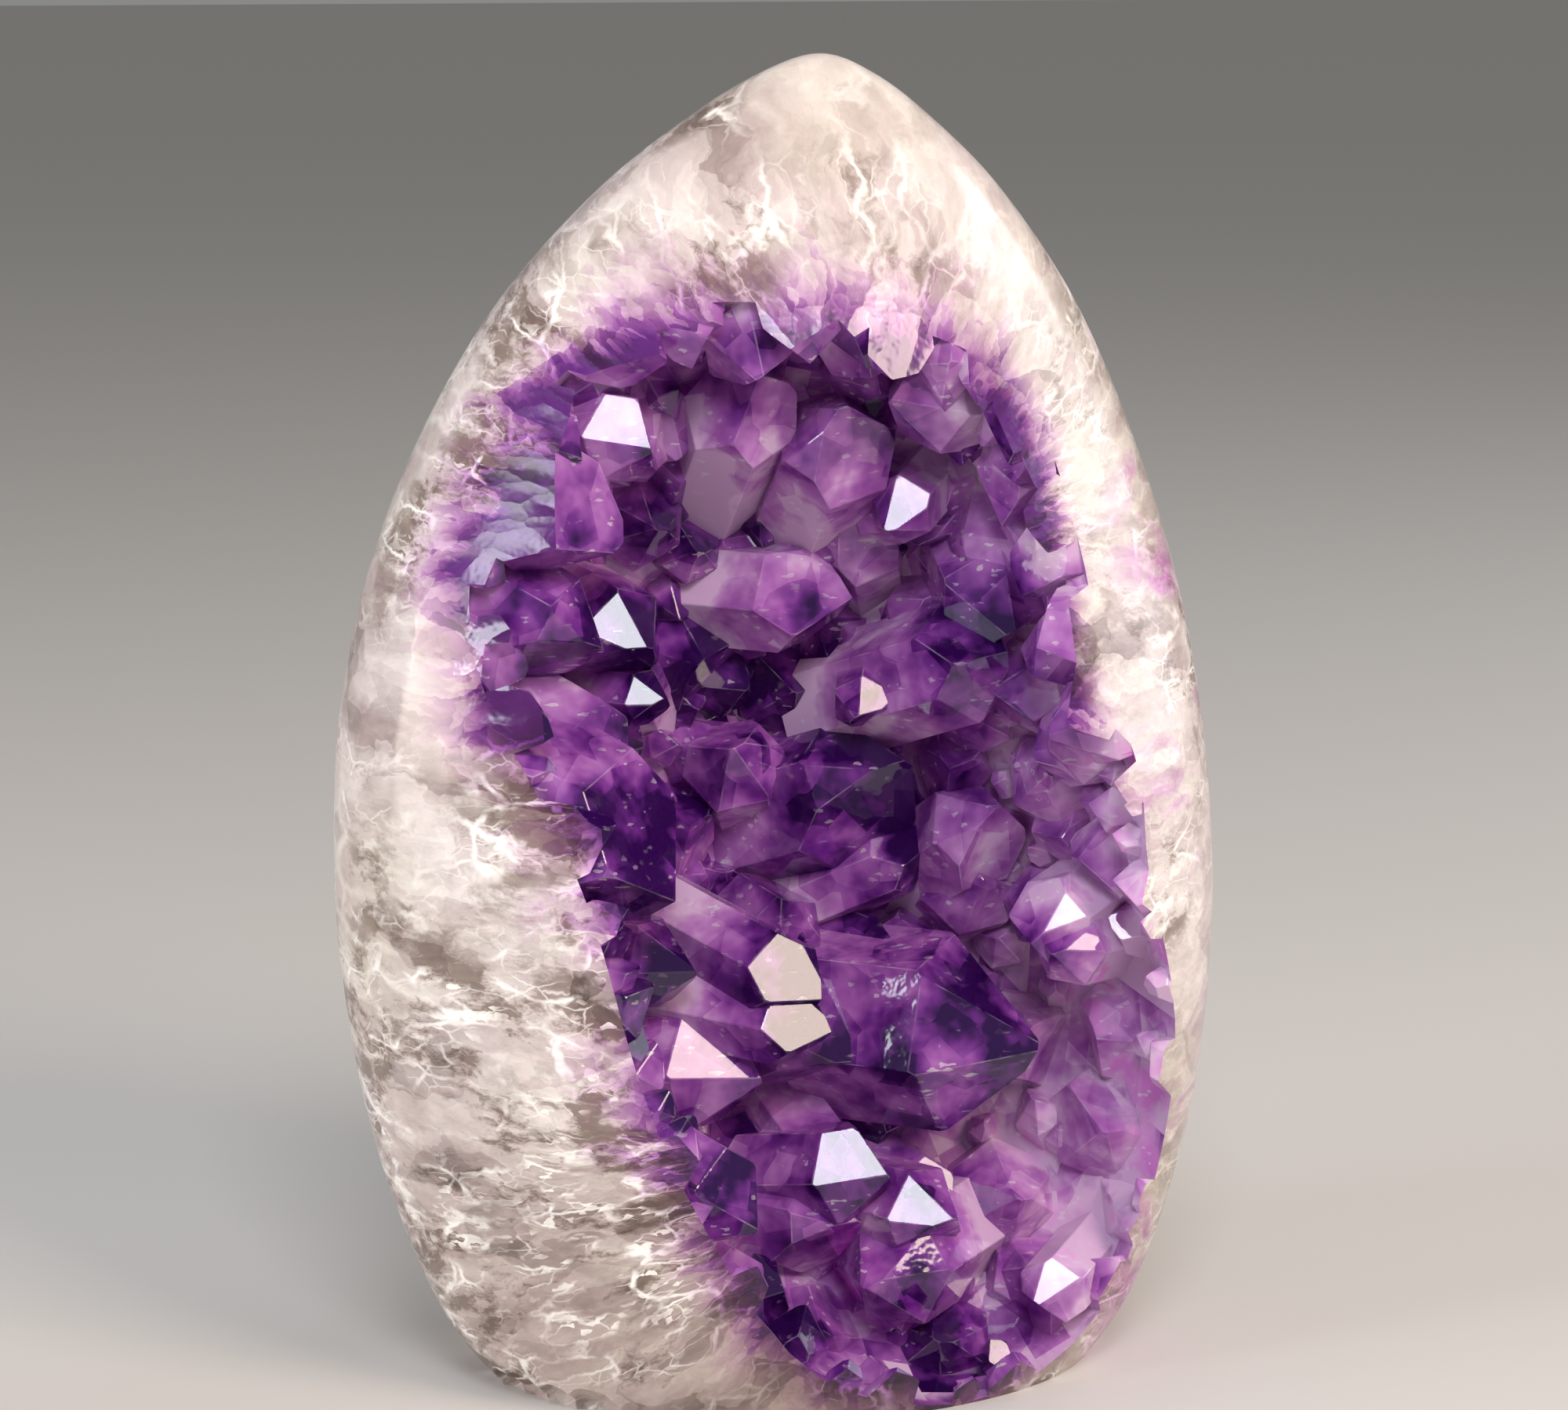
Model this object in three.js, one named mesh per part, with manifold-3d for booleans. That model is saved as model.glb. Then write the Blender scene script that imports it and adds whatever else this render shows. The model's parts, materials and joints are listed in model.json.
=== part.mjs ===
// A polished amethyst geode that stands on its sawn foot. Millimetres, +Z up, the hollow opens to the front (-Y).
import * as THREE from "three";
import { mergeVertices } from "three/addons/utils/BufferGeometryUtils.js";
import Module from "manifold-3d";

const wasm = await Module();
wasm.setup();

// The egg: overall size, and how far its tip and its foot stand to the right of the middle
const HEIGHT = 124.6;
const WIDTH = 84.4;
const DEPTH_SHARE = 0.74; // front to back, as a share of the width
const TIP_LEAN = 4.4;
const TIP_LEAN_FROM = 0.6; // share of the height above which the tip leans
const FOOT_SHIFT = 1.8;
const FOOT_SHIFT_BELOW = 0.5;
const EGG_SIDES = 40;
const EGG_RINGS = 22;
// The side of the egg: share of the half width, share of the height
const EGG_PROFILE = [
  [0.7, 0],
  [0.795, 0.045],
  [0.885, 0.12],
  [0.955, 0.21],
  [0.993, 0.31],
  [1, 0.4],
  [0.975, 0.51],
  [0.905, 0.62],
  [0.79, 0.725],
  [0.64, 0.82],
  [0.45, 0.9],
  [0.275, 0.952],
  [0.13, 0.985],
  [0, 1],
];

// The hollow: its middle, its deepest point, and the depth at which its wall runs straight forward
const HOLLOW_X = 2;
const HOLLOW_Z = 60;
const HOLLOW_FLOOR_Y = 6;
const HOLLOW_BRIM_Y = -20;
const HOLLOW_MOUTH_Y = -60; // well in front of the egg
const HOLLOW_SIDES = 24;
const HOLLOW_RINGS = 6;
// How far the hollow reaches from its middle, every 22.5 degrees from the right side upwards and round
const HOLLOW_REACH = [27, 25, 30, 39, 42, 46, 44, 37, 29, 27, 31, 41, 57, 61, 46, 31];

const CRUST_THICKNESS = 6;
const CRUST_GAP = 0.3; // between the crust and the body
const LINING_SPARE = 3; // extra thickness that is trimmed away with the crystals' roots

// Where the edge of the foot is broken: angle round the foot from its right side, radius and height of
// the ball that bites it, and how far the ball's middle stands outside the edge
const CHIPS = [
  [196, 3, -0.4, 2.1],
  [204, 4, -0.8, 3],
  [213, 3, -0.2, 2.3],
  [222, 4.5, -1.2, 3.2],
  [231, 2.5, -0.3, 1.9],
];
// Middle of the finished stone, seen from above, in the egg's own frame
const MIDDLE_X = 0.45;
const MIDDLE_Y = 1.77;

// Colours and roughness
const MILKY_QUARTZ = 0xd6c6c4;
const AMETHYST = 0x73477b;
const POLISHED = 0.12;
const CRYSTAL_FACE = 0.04;

// Quartz crystals: the tip faces lean 51.8 degrees away from the crystal's length
const FACE_TILT = THREE.MathUtils.degToRad(51.8);
const CRYSTAL_LENGTH = 30;
const FACE_SPREAD = 0.5; // how unevenly the six tip faces are set, as a share of the radius
const FACE_STEP = 0.5; // every second tip face is set further back, as a share of that spread

// The crystals that can be told apart in the hollow. Tip x, y and z, the hour of the clock towards
// which it leans as seen from the front, its lean from straight out in degrees, and its radius.
const ROOF = [
  [-5, -17, 97, 6, 40, 5.5],
  [4, -19, 99, 6, 62, 7],
  [5, -17, 97, 6, 45, 5],
  [10, -18, 99, 7, 55, 4],
  [8, -15, 94, 9, 58, 5.5],
  [18, -18, 87, 8, 50, 4],
  [-10, -18, 102, 4, 58, 4.5],
  [-15, -17, 98, 4, 58, 4.5],
  [-22, -16, 90, 4, 55, 3.5],
  [-20, -17, 82, 4, 60, 7],
  [-21, -15, 72, 4, 60, 5.5],
];
const BACK_WALL = [
  [-14, -9, 89, 5, 25, 5.5],
  [-10, -4, 86, 6, 10, 4],
  [-5, -12, 95, 12, 35, 5.5],
  [4, -12, 92, 12, 35, 6],
  [7, -12, 95, 6, 20, 4.5],
  [10, -8, 85, 12, 20, 4.4],
  [20, -12, 72, 6, 25, 6.5],
  [21, -14, 80, 9, 35, 4.5],
  [19, -12, 70, 2, 40, 6],
  [5, -5, 74, 3, 45, 5.5],
  [-13, -5, 82, 3, 10, 5],
  [-8, -2, 79, 12, 10, 3.2],
  [-15, -2, 69, 5, 30, 4.5],
  [-7, -1, 68, 3, 10, 6],
  [-15, -3, 69, 11, 45, 3.2],
  [5, -3, 78, 4, 25, 3.2],
  [7, -4, 81, 11, 35, 4.5],
  [9, -1, 65, 6, 25, 4],
  [2, 1, 65, 12, 5, 5],
];
const HEART = [
  [16, -4, 57, 9, 25, 3.8],
  [11, -5, 57, 2, 42, 8],
  [-5, -3, 60, 11, 35, 5],
  [14, -3, 50, 2, 60, 4],
  [20, -7, 53, 1, 35, 5.5],
  [24, -11, 58, 10, 30, 5],
  [25, -11, 52, 9, 35, 4],
  [26, -16, 50, 9, 55, 4.5],
  [24, -9, 45, 10, 30, 4.5],
  [19, -5, 47, 12, 25, 5],
  [22, -17, 68, 8, 55, 5],
  [23, -17, 62, 9, 55, 4.5],
  [-18, -14, 61, 4, 58, 5],
  [-15, -21, 51, 4, 60, 9.5],
  [-9, -2, 52, 1, 15, 4.5],
  [-12, -14, 42, 3, 45, 4.5],
  [-1, -5, 46, 12, 40, 5.5],
  [9, -4, 41, 1, 35, 5],
  [-6, -6, 39, 2, 30, 5],
  [15, -3, 40, 1, 25, 5],
];
const FOOT = [
  [3, -6, 36, 4, 30, 7],
  [5, -10, 31, 4, 38, 7],
  [20, -13, 33, 3, 50, 9.5],
  [-5, -12, 31, 3, 52, 6.5],
  [4, -13, 17, 5, 32, 5.5],
  [4, -14, 16, 3, 42, 5.5],
  [14, -11, 15, 4, 35, 5],
  [9, -6, 23, 6, 10, 4.8],
  [13, -13, 11, 1, 35, 6.5],
  [12, -15, 5, 11, 30, 5.8],
  [1, -15, 7, 12, 25, 5],
  [23, -15, 9, 11, 25, 6],
  [21, -10, 17, 12, 15, 5.5],
  [29, -13, 24, 10, 25, 6],
  [29, -11, 32, 9, 45, 5],
  [24, -7, 32, 12, 20, 5],
  [-8, -22, 20, 4, 60, 5.5],
  [-6, -19, 9, 4, 50, 5.5],
  [-4, -16, 11, 2, 30, 4.2],
  [31, -16, 15, 9, 35, 5.5],
  [-2, -8, 22, 2, 25, 5],
];

// Crystals with a face that shines. The seventh value is where that face looks: the crystal is turned a little
// for it, so that those with the same look shine at the same time.
const UPWARDS = [0.094, -0.908, 0.408];
const LEFTWARDS = [-0.193, -0.893, 0.407];
const HIGHER = [-0.211, -0.843, 0.495];
const SHINING = [
  [-0.5, -15.5, 39, 4, 45, 4.5, UPWARDS],
  [6.5, -7.5, 63.5, 8, 40, 3, UPWARDS],
  [6, -16.5, 22, 3, 40, 5, HIGHER],
  [20.5, -16.5, 43.5, 9, 40, 4.5, LEFTWARDS],
  [-15.5, -13, 71.5, 4, 50, 5, LEFTWARDS],
  [8.5, -10, 82, 10, 30, 3.5, LEFTWARDS],
  [-15.5, -16, 90.5, 4, 50, 4.5, LEFTWARDS],
  [0.5, -16, 35.5, 3, 45, 4, UPWARDS],
  [12.5, -18, 17, 3, 40, 5, HIGHER],
  [22.5, -17.5, 42.5, 9, 40, 4, UPWARDS],
  [21.5, -18, 8.5, 9, 40, 3.5, HIGHER],
  [-13.5, -12, 66.5, 3, 40, 3, LEFTWARDS],
  [5, -17, 12, 9, 35, 6.5, UPWARDS],
];

// The smaller crystals that fill the wall between them
const FILLERS = 100;
const FILLER_RADIUS = 2.6;
const FILLER_RADIUS_RANGE = 2.2;
const FILLER_STANDS_OUT = 1.1; // how far the tip stands out of the wall, as a share of the radius
const FILLER_WALL = 1.25; // part of the wall that is covered: 1 reaches the brim, more goes on towards the mouth
const FILLER_CLEAR_OF_MAIN = 0.7; // a filler is left out within this share of a main crystal's radius
const FILLER_LEAN = 0.5; // how far a filler leans away from square to the wall
const FILLER_FORWARD = 0.2; // how far a filler at the brim still points to the front, at the least

const GOLDEN_TURN = Math.PI * (3 - Math.sqrt(5));
const SPREAD_A = 0.7548777; // steps that spread values evenly between 0 and 1
const SPREAD_B = 0.5698403;
const SPREAD_C = 0.6180340;

const SAME_PLACE = 1e-4; // corners closer than this are one corner

const spread = (index, step) => (index * step) % 1;

// A geometry as a solid. Its seams are closed and the triangles squeezed flat at a pole are dropped.
function solidOf(geometry) {
  const bare = geometry.index ? geometry.toNonIndexed() : geometry;
  const position = new THREE.BufferGeometry().setAttribute("position", bare.getAttribute("position"));
  const merged = mergeVertices(position, SAME_PLACE);
  const corners = merged.index.array;
  const kept = [];
  for (let i = 0; i < corners.length; i += 3) {
    const [a, b, c] = [corners[i], corners[i + 1], corners[i + 2]];
    if (a !== b && b !== c && c !== a) kept.push(a, b, c);
  }
  return new wasm.Manifold(
    new wasm.Mesh({
      numProp: 3,
      vertProperties: new Float32Array(merged.getAttribute("position").array),
      triVerts: new Uint32Array(kept),
    }),
  );
}

// A solid as a mesh of the part.
function meshOf(solid, name, color, roughness) {
  const made = solid.getMesh();
  const geometry = new THREE.BufferGeometry();
  geometry.setAttribute("position", new THREE.BufferAttribute(made.vertProperties, 3));
  geometry.setIndex(new THREE.BufferAttribute(made.triVerts, 1));
  geometry.computeVertexNormals();
  const material = new THREE.MeshStandardMaterial({ color, roughness, metalness: 0, flatShading: true });
  const mesh = new THREE.Mesh(geometry, material);
  mesh.name = name;
  mesh.position.set(-MIDDLE_X, -MIDDLE_Y, 0);
  return mesh;
}

// The egg's curved outline at evenly spaced places, closed to the axis at both ends.
function eggOutline() {
  const past = new THREE.Vector2(-EGG_PROFILE.at(-2)[0], EGG_PROFILE.at(-2)[1]);
  const curve = new THREE.SplineCurve([...EGG_PROFILE.map(([r, u]) => new THREE.Vector2(r, u)), past]);
  const lastShare = (EGG_PROFILE.length - 1) / EGG_PROFILE.length;
  const outline = [new THREE.Vector2(0, 0)];
  for (let i = 0; i <= EGG_RINGS; i++) {
    const at = curve.getPoint((i / EGG_RINGS) * lastShare);
    outline.push(new THREE.Vector2(i === EGG_RINGS ? 0 : (at.x * WIDTH) / 2, at.y * HEIGHT));
  }
  return outline;
}

function shiftAt(z) {
  const share = z / HEIGHT;
  const tip = Math.max(0, (share - TIP_LEAN_FROM) / (1 - TIP_LEAN_FROM));
  const foot = Math.max(0, (FOOT_SHIFT_BELOW - share) / FOOT_SHIFT_BELOW);
  return TIP_LEAN * tip * tip + FOOT_SHIFT * foot;
}

// The egg is turned as a round one, flattened front to back and leant at its tip.
function egg() {
  const geometry = new THREE.LatheGeometry(eggOutline(), EGG_SIDES);
  geometry.rotateX(Math.PI / 2);
  const position = geometry.getAttribute("position");
  for (let i = 0; i < position.count; i++) {
    position.setX(i, position.getX(i) + shiftAt(position.getZ(i)));
    position.setY(i, position.getY(i) * DEPTH_SHARE);
  }
  return solidOf(geometry);
}

// Bites broken out of the edge of the foot.
function chipped(solid) {
  const footX = (EGG_PROFILE[0][0] * WIDTH) / 2;
  return CHIPS.reduce((left, [degrees, radius, z, outside]) => {
    const angle = THREE.MathUtils.degToRad(degrees);
    const ball = new THREE.IcosahedronGeometry(radius, 1);
    ball.rotateZ(angle);
    ball.translate(
      FOOT_SHIFT + (footX + outside) * Math.cos(angle),
      (footX * DEPTH_SHARE + outside) * Math.sin(angle),
      z,
    );
    return left.subtract(solidOf(ball));
  }, solid);
}

// The hollow's reach at an angle, a smooth closed curve through the given reaches.
function reachAt(angle) {
  const count = HOLLOW_REACH.length;
  const place = ((angle / (2 * Math.PI) + 1) % 1) * count;
  const first = Math.floor(place);
  const t = place - first;
  const [a, b, c, d] = [-1, 0, 1, 2].map((step) => HOLLOW_REACH[(first + step + count) % count]);
  const [slopeB, slopeC] = [(c - a) / 2, (d - b) / 2];
  return (2 * b - 2 * c + slopeB + slopeC) * t ** 3 + (3 * c - 3 * b - 2 * slopeB - slopeC) * t ** 2 + slopeB * t + b;
}

// The hollow as a solid bowl that opens to the front, grown by a number of millimetres.
function bowl(grow) {
  const outline = [];
  const floor = HOLLOW_FLOOR_Y + grow;
  for (let i = 0; i <= HOLLOW_RINGS; i++) {
    const angle = (i / HOLLOW_RINGS) * (Math.PI / 2);
    outline.push(new THREE.Vector2(Math.sin(angle), HOLLOW_BRIM_Y + (floor - HOLLOW_BRIM_Y) * Math.cos(angle)));
  }
  outline.push(new THREE.Vector2(1, HOLLOW_MOUTH_Y), new THREE.Vector2(0, HOLLOW_MOUTH_Y));
  outline[0].x = 0;
  const geometry = new THREE.LatheGeometry(outline.reverse(), HOLLOW_SIDES);
  const position = geometry.getAttribute("position");
  for (let i = 0; i < position.count; i++) {
    const angle = Math.atan2(position.getZ(i), position.getX(i));
    const share = Math.hypot(position.getX(i), position.getZ(i));
    const reach = share * (reachAt(angle) + grow);
    position.setX(i, HOLLOW_X + reach * Math.cos(angle));
    position.setZ(i, HOLLOW_Z + reach * Math.sin(angle));
  }
  return solidOf(geometry);
}

// Which way a tip face looks on a crystal that points up.
function tipFace(face) {
  const turn = ((face + 0.5) * Math.PI) / 3;
  const flat = Math.sin(FACE_TILT);
  return new THREE.Vector3(flat * Math.cos(turn), flat * Math.sin(turn), Math.cos(FACE_TILT));
}

// A crystal with its tip near the origin and its length down -Z: a six-sided prism under six leaning faces.
function crystal(radius, number) {
  const prism = new THREE.CylinderGeometry(radius, radius, CRYSTAL_LENGTH, 6);
  prism.rotateX(Math.PI / 2);
  prism.translate(0, 0, radius - CRYSTAL_LENGTH / 2);
  let solid = solidOf(prism);
  for (let face = 0; face < 6; face++) {
    const setBack = (face % 2 ? FACE_STEP : 0) + spread(number * 6 + face + 1, SPREAD_C);
    const offset = radius * FACE_SPREAD * setBack * Math.cos(FACE_TILT);
    solid = solid.trimByPlane(tipFace(face).negate().toArray(), -offset);
  }
  return solid;
}

// How a crystal stands when it points along a direction and is turned about itself.
function stanceOf(direction, turn) {
  const up = new THREE.Vector3(0, 0, 1);
  const lean = new THREE.Quaternion().setFromUnitVectors(up, direction);
  return lean.multiply(new THREE.Quaternion().setFromAxisAngle(up, turn));
}

// A stance changed as little as needed for the nearest tip face to look a given way.
function facing(stance, look) {
  const wanted = new THREE.Vector3(...look).normalize();
  const faces = [0, 1, 2, 3, 4, 5].map((face) => tipFace(face).applyQuaternion(stance));
  const nearest = faces.reduce((best, face) => (face.dot(wanted) > best.dot(wanted) ? face : best));
  return new THREE.Quaternion().setFromUnitVectors(nearest, wanted).multiply(stance);
}

function placed(solid, tip, stance) {
  return solid.transform(new THREE.Matrix4().compose(tip, stance, new THREE.Vector3(1, 1, 1)).elements);
}

function mainCrystals() {
  const rows = [...ROOF, ...BACK_WALL, ...HEART, ...FOOT, ...SHINING];
  return rows.map(([x, y, z, hour, leanDegrees, radius, look], number) => {
    const around = (hour / 12) * 2 * Math.PI;
    const lean = THREE.MathUtils.degToRad(leanDegrees);
    const sideways = Math.sin(lean);
    const direction = new THREE.Vector3(sideways * Math.sin(around), -Math.cos(lean), sideways * Math.cos(around));
    const grown = stanceOf(direction, spread(number + 1, SPREAD_A) * (Math.PI / 3));
    const stance = look ? facing(grown, look) : grown;
    return { tip: new THREE.Vector3(x, y, z), radius, solid: crystal(radius, number), stance };
  });
}

// Fillers on a golden-angle spiral over the wall, each square to the wall with a small lean of its own.
function fillerCrystals(mains) {
  const made = [];
  for (let i = 0; i < FILLERS; i++) {
    const deep = 1 - (FILLER_WALL * (i + 0.5)) / FILLERS;
    const angle = i * GOLDEN_TURN;
    const across = deep > 0 ? Math.sqrt(1 - deep * deep) : 1;
    const reach = reachAt(angle % (2 * Math.PI));
    const wall = new THREE.Vector3(
      HOLLOW_X + across * reach * Math.cos(angle),
      HOLLOW_BRIM_Y + (HOLLOW_FLOOR_Y - HOLLOW_BRIM_Y) * deep,
      HOLLOW_Z + across * reach * Math.sin(angle),
    );
    const direction = new THREE.Vector3(
      -across * Math.cos(angle) + FILLER_LEAN * (spread(i, SPREAD_A) - 0.5),
      -Math.max(deep, FILLER_FORWARD),
      -across * Math.sin(angle) + FILLER_LEAN * (spread(i, SPREAD_B) - 0.5),
    ).normalize();
    const radius = FILLER_RADIUS + FILLER_RADIUS_RANGE * spread(i, SPREAD_C);
    const tip = wall.clone().addScaledVector(direction, FILLER_STANDS_OUT * radius);
    if (mains.some((main) => main.tip.distanceTo(tip) < FILLER_CLEAR_OF_MAIN * main.radius)) continue;
    made.push(placed(crystal(radius, i), tip, stanceOf(direction, spread(i, SPREAD_B) * Math.PI)));
  }
  return made;
}

// The largest piece of a solid, without the chips beside it and the pockets sealed inside it.
function mainPiece(solid) {
  return solid.decompose().reduce((largest, one) => (one.volume() > largest.volume() ? one : largest));
}

const whole = chipped(egg());
const body = mainPiece(whole.subtract(bowl(CRUST_THICKNESS)));

const mains = mainCrystals();
const crystals = [
  ...mains.map((main) => placed(main.solid, main.tip, main.stance)),
  ...fillerCrystals(mains),
].reduce((joined, one) => joined.add(one));
const room = bowl(CRUST_THICKNESS - CRUST_GAP);
const lining = bowl(CRUST_THICKNESS + LINING_SPARE).subtract(bowl(0));
const crust = mainPiece(lining.add(crystals).intersect(room).intersect(whole));

const geode = new THREE.Group();
geode.add(meshOf(body, "geode_body", MILKY_QUARTZ, POLISHED));
geode.add(meshOf(crust, "crystal_crust", AMETHYST, CRYSTAL_FACE));

export default geode;
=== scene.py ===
# %% [markdown]
# # A polished amethyst geode
# The real piece is one half of a hollow stone. The outside was ground to an egg and polished, the foot was
# sawn flat so that it stands, and the front is left open on the crystals that grew inwards. The simple
# solids of the stone are already there: this script keeps their sizes and replaces them with finer ones.

import json
import math
from collections import namedtuple

import bmesh
import bpy
import numpy as np
from mathutils import Matrix, Vector
from mathutils.bvhtree import BVHTree

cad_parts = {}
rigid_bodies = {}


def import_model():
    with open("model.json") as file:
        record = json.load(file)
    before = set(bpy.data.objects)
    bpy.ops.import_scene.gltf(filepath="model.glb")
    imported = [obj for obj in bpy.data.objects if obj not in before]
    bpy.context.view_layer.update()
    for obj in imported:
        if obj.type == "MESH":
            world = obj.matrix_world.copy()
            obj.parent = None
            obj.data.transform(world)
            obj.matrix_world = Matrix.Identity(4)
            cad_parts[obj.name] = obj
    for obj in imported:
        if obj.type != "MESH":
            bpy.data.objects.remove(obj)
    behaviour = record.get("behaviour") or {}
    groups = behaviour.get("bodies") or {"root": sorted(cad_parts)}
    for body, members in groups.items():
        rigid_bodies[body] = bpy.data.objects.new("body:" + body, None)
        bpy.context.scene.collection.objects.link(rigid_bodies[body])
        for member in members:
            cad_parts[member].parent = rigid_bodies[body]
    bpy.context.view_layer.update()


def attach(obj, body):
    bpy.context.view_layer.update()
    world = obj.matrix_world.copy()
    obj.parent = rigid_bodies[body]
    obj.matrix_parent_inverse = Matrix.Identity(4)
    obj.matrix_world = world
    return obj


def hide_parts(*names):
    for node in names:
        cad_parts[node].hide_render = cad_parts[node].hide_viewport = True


for thing in list(bpy.data.objects):
    bpy.data.objects.remove(thing)
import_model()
MM = 0.001

# %% [markdown]
# ## Small helpers
# A mesh is built in millimetres, because a maker thinks of the stone in millimetres, and is made metres
# when it becomes an object. Positions that vary from crystal to crystal come from steps that spread values
# evenly, so the stone is the same each time that the script runs.

# %% Helpers for meshes
SPREAD_A = 0.7548777
SPREAD_B = 0.5698403
SPREAD_C = 0.6180340
GOLDEN_TURN = math.pi * (3 - math.sqrt(5))


def spread(index, step):
    return (index * step) % 1


def object_from(shape, name):
    """A bmesh in millimetres becomes an object in metres, and the bmesh is freed."""
    bmesh.ops.scale(shape, vec=(MM, MM, MM), verts=shape.verts)
    mesh = bpy.data.meshes.new(name)
    shape.to_mesh(mesh)
    shape.free()
    made = bpy.data.objects.new(name, mesh)
    bpy.context.scene.collection.objects.link(made)
    return made


def combine(piece, operation, other):
    """Joins another closed solid to the piece, cuts it away, or keeps what both share."""
    step = piece.modifiers.new("combine", "BOOLEAN")
    step.operation = operation
    step.solver = "MANIFOLD"
    step.object = other
    seen = piece.evaluated_get(bpy.context.evaluated_depsgraph_get())
    done = bpy.data.meshes.new_from_object(seen)
    piece.modifiers.clear()
    old = piece.data
    piece.data = done
    bpy.data.meshes.remove(old)


def throw_away(piece):
    mesh = piece.data
    bpy.data.objects.remove(piece)
    bpy.data.meshes.remove(mesh)


# %% [markdown]
# ## The egg
# The outside is an egg: round when seen from above but flatter front to back, widest below the middle, with
# a soft tip that leans to the right. A curved outline is spun once round the upright axis, as on a lathe,
# and the result is then flattened and leant. A sculpted or subdivided cube would need more work for less
# truth.

# %% Outline of the egg
HEIGHT = 124.6
WIDTH = 84.4
DEPTH_SHARE = 0.74
TIP_LEAN = 4.4
TIP_LEAN_FROM = 0.6
FOOT_SHIFT = 1.8
FOOT_SHIFT_BELOW = 0.5
EGG_SIDES = 128
EGG_RINGS = 84
MIDDLE_X = 0.45
MIDDLE_Y = 1.77
# Share of the half width, share of the height
EGG_PROFILE = [
    (0.7, 0),
    (0.795, 0.045),
    (0.885, 0.12),
    (0.955, 0.21),
    (0.993, 0.31),
    (1, 0.4),
    (0.975, 0.51),
    (0.905, 0.62),
    (0.79, 0.725),
    (0.64, 0.82),
    (0.45, 0.9),
    (0.275, 0.952),
    (0.13, 0.985),
    (0, 1),
]


def smooth_between(t, before, start, end, after):
    """A curve that passes from start to end as t goes from 0 to 1."""
    slope_start = (end - before) / 2
    slope_end = (after - start) / 2
    cubic = 2 * start - 2 * end + slope_start + slope_end
    square = 3 * end - 3 * start - 2 * slope_start - slope_end
    return cubic * t**3 + square * t**2 + slope_start * t + start


def egg_outline(rings):
    points = [Vector(p) for p in EGG_PROFILE]
    points.append(Vector((-points[-2].x, points[-2].y)))
    last = len(points) - 2
    outline = []
    for ring in range(rings + 1):
        place = last * ring / rings
        first = min(int(place), last - 1)
        four = [points[max(first + step, 0)] for step in (-1, 0, 1, 2)]
        at = smooth_between(place - first, *four)
        outline.append((max(at.x, 0) * WIDTH / 2, at.y * HEIGHT))
    outline[-1] = (0, HEIGHT)
    return outline


def shift_at(z):
    share = z / HEIGHT
    tip = max(0, (share - TIP_LEAN_FROM) / (1 - TIP_LEAN_FROM))
    foot = max(0, (FOOT_SHIFT_BELOW - share) / FOOT_SHIFT_BELOW)
    return TIP_LEAN * tip * tip + FOOT_SHIFT * foot


def spun(outline, axis, sides):
    """A solid from an outline of (distance from the axis, place along it), spun all the way round."""
    shape = bmesh.new()
    along = Vector(axis)
    out = Vector((1, 0, 0))
    corners = [shape.verts.new(out * r + along * h) for r, h in outline]
    edges = [shape.edges.new(pair) for pair in zip(corners, corners[1:])]
    round_once = {"cent": (0, 0, 0), "axis": axis, "angle": 2 * math.pi, "steps": sides}
    bmesh.ops.spin(shape, geom=corners + edges, use_merge=True, **round_once)
    bmesh.ops.remove_doubles(shape, verts=shape.verts, dist=1e-5)
    bmesh.ops.dissolve_degenerate(shape, edges=shape.edges, dist=1e-6)
    bmesh.ops.recalc_face_normals(shape, faces=shape.faces)
    return shape


# %% Spin the egg
def egg():
    shape = spun([(0, 0)] + egg_outline(EGG_RINGS), (0, 0, 1), EGG_SIDES)
    for corner in shape.verts:
        corner.co.x += shift_at(corner.co.z) - MIDDLE_X
        corner.co.y = corner.co.y * DEPTH_SHARE - MIDDLE_Y
    return shape


egg_solid = object_from(egg(), "egg")
print("egg:", len(egg_solid.data.polygons), "faces")

# %% [markdown]
# ## Broken edge of the foot
# The sawn foot was not bevelled, so its left edge has crumbled in a few shallow bites. Each is a faceted
# ball cut out of the edge, which leaves the flat, shell-like breaks of real quartz.

# %% Bites in the edge
# Angle round the foot from its right side, radius, height, and how far the ball stands outside the edge
CHIPS = [
    (196, 3, -0.4, 2.1),
    (204, 4, -0.8, 3),
    (213, 3, -0.2, 2.3),
    (222, 4.5, -1.2, 3.2),
    (231, 2.5, -0.3, 1.9),
]
foot_x = EGG_PROFILE[0][0] * WIDTH / 2
for degrees, radius, height, outside in CHIPS:
    angle = math.radians(degrees)
    ball = bmesh.new()
    bmesh.ops.create_icosphere(ball, subdivisions=2, radius=radius)
    x = FOOT_SHIFT + (foot_x + outside) * math.cos(angle) - MIDDLE_X
    y = (foot_x * DEPTH_SHARE + outside) * math.sin(angle) - MIDDLE_Y
    bmesh.ops.rotate(ball, cent=(0, 0, 0), matrix=Matrix.Rotation(angle, 3, "Z"), verts=ball.verts)
    bmesh.ops.translate(ball, vec=(x, y, height), verts=ball.verts)
    bite = object_from(ball, "bite")
    combine(egg_solid, "DIFFERENCE", bite)
    throw_away(bite)
print("egg with its broken edge:", len(egg_solid.data.polygons), "faces")

# %% [markdown]
# ## The hollow
# Behind the opening the stone is hollow, like a bowl on its side. The bowl is not round: it reaches far
# down to the foot and little to the right, so a spun bowl is pulled out to a different reach at each angle.

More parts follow.
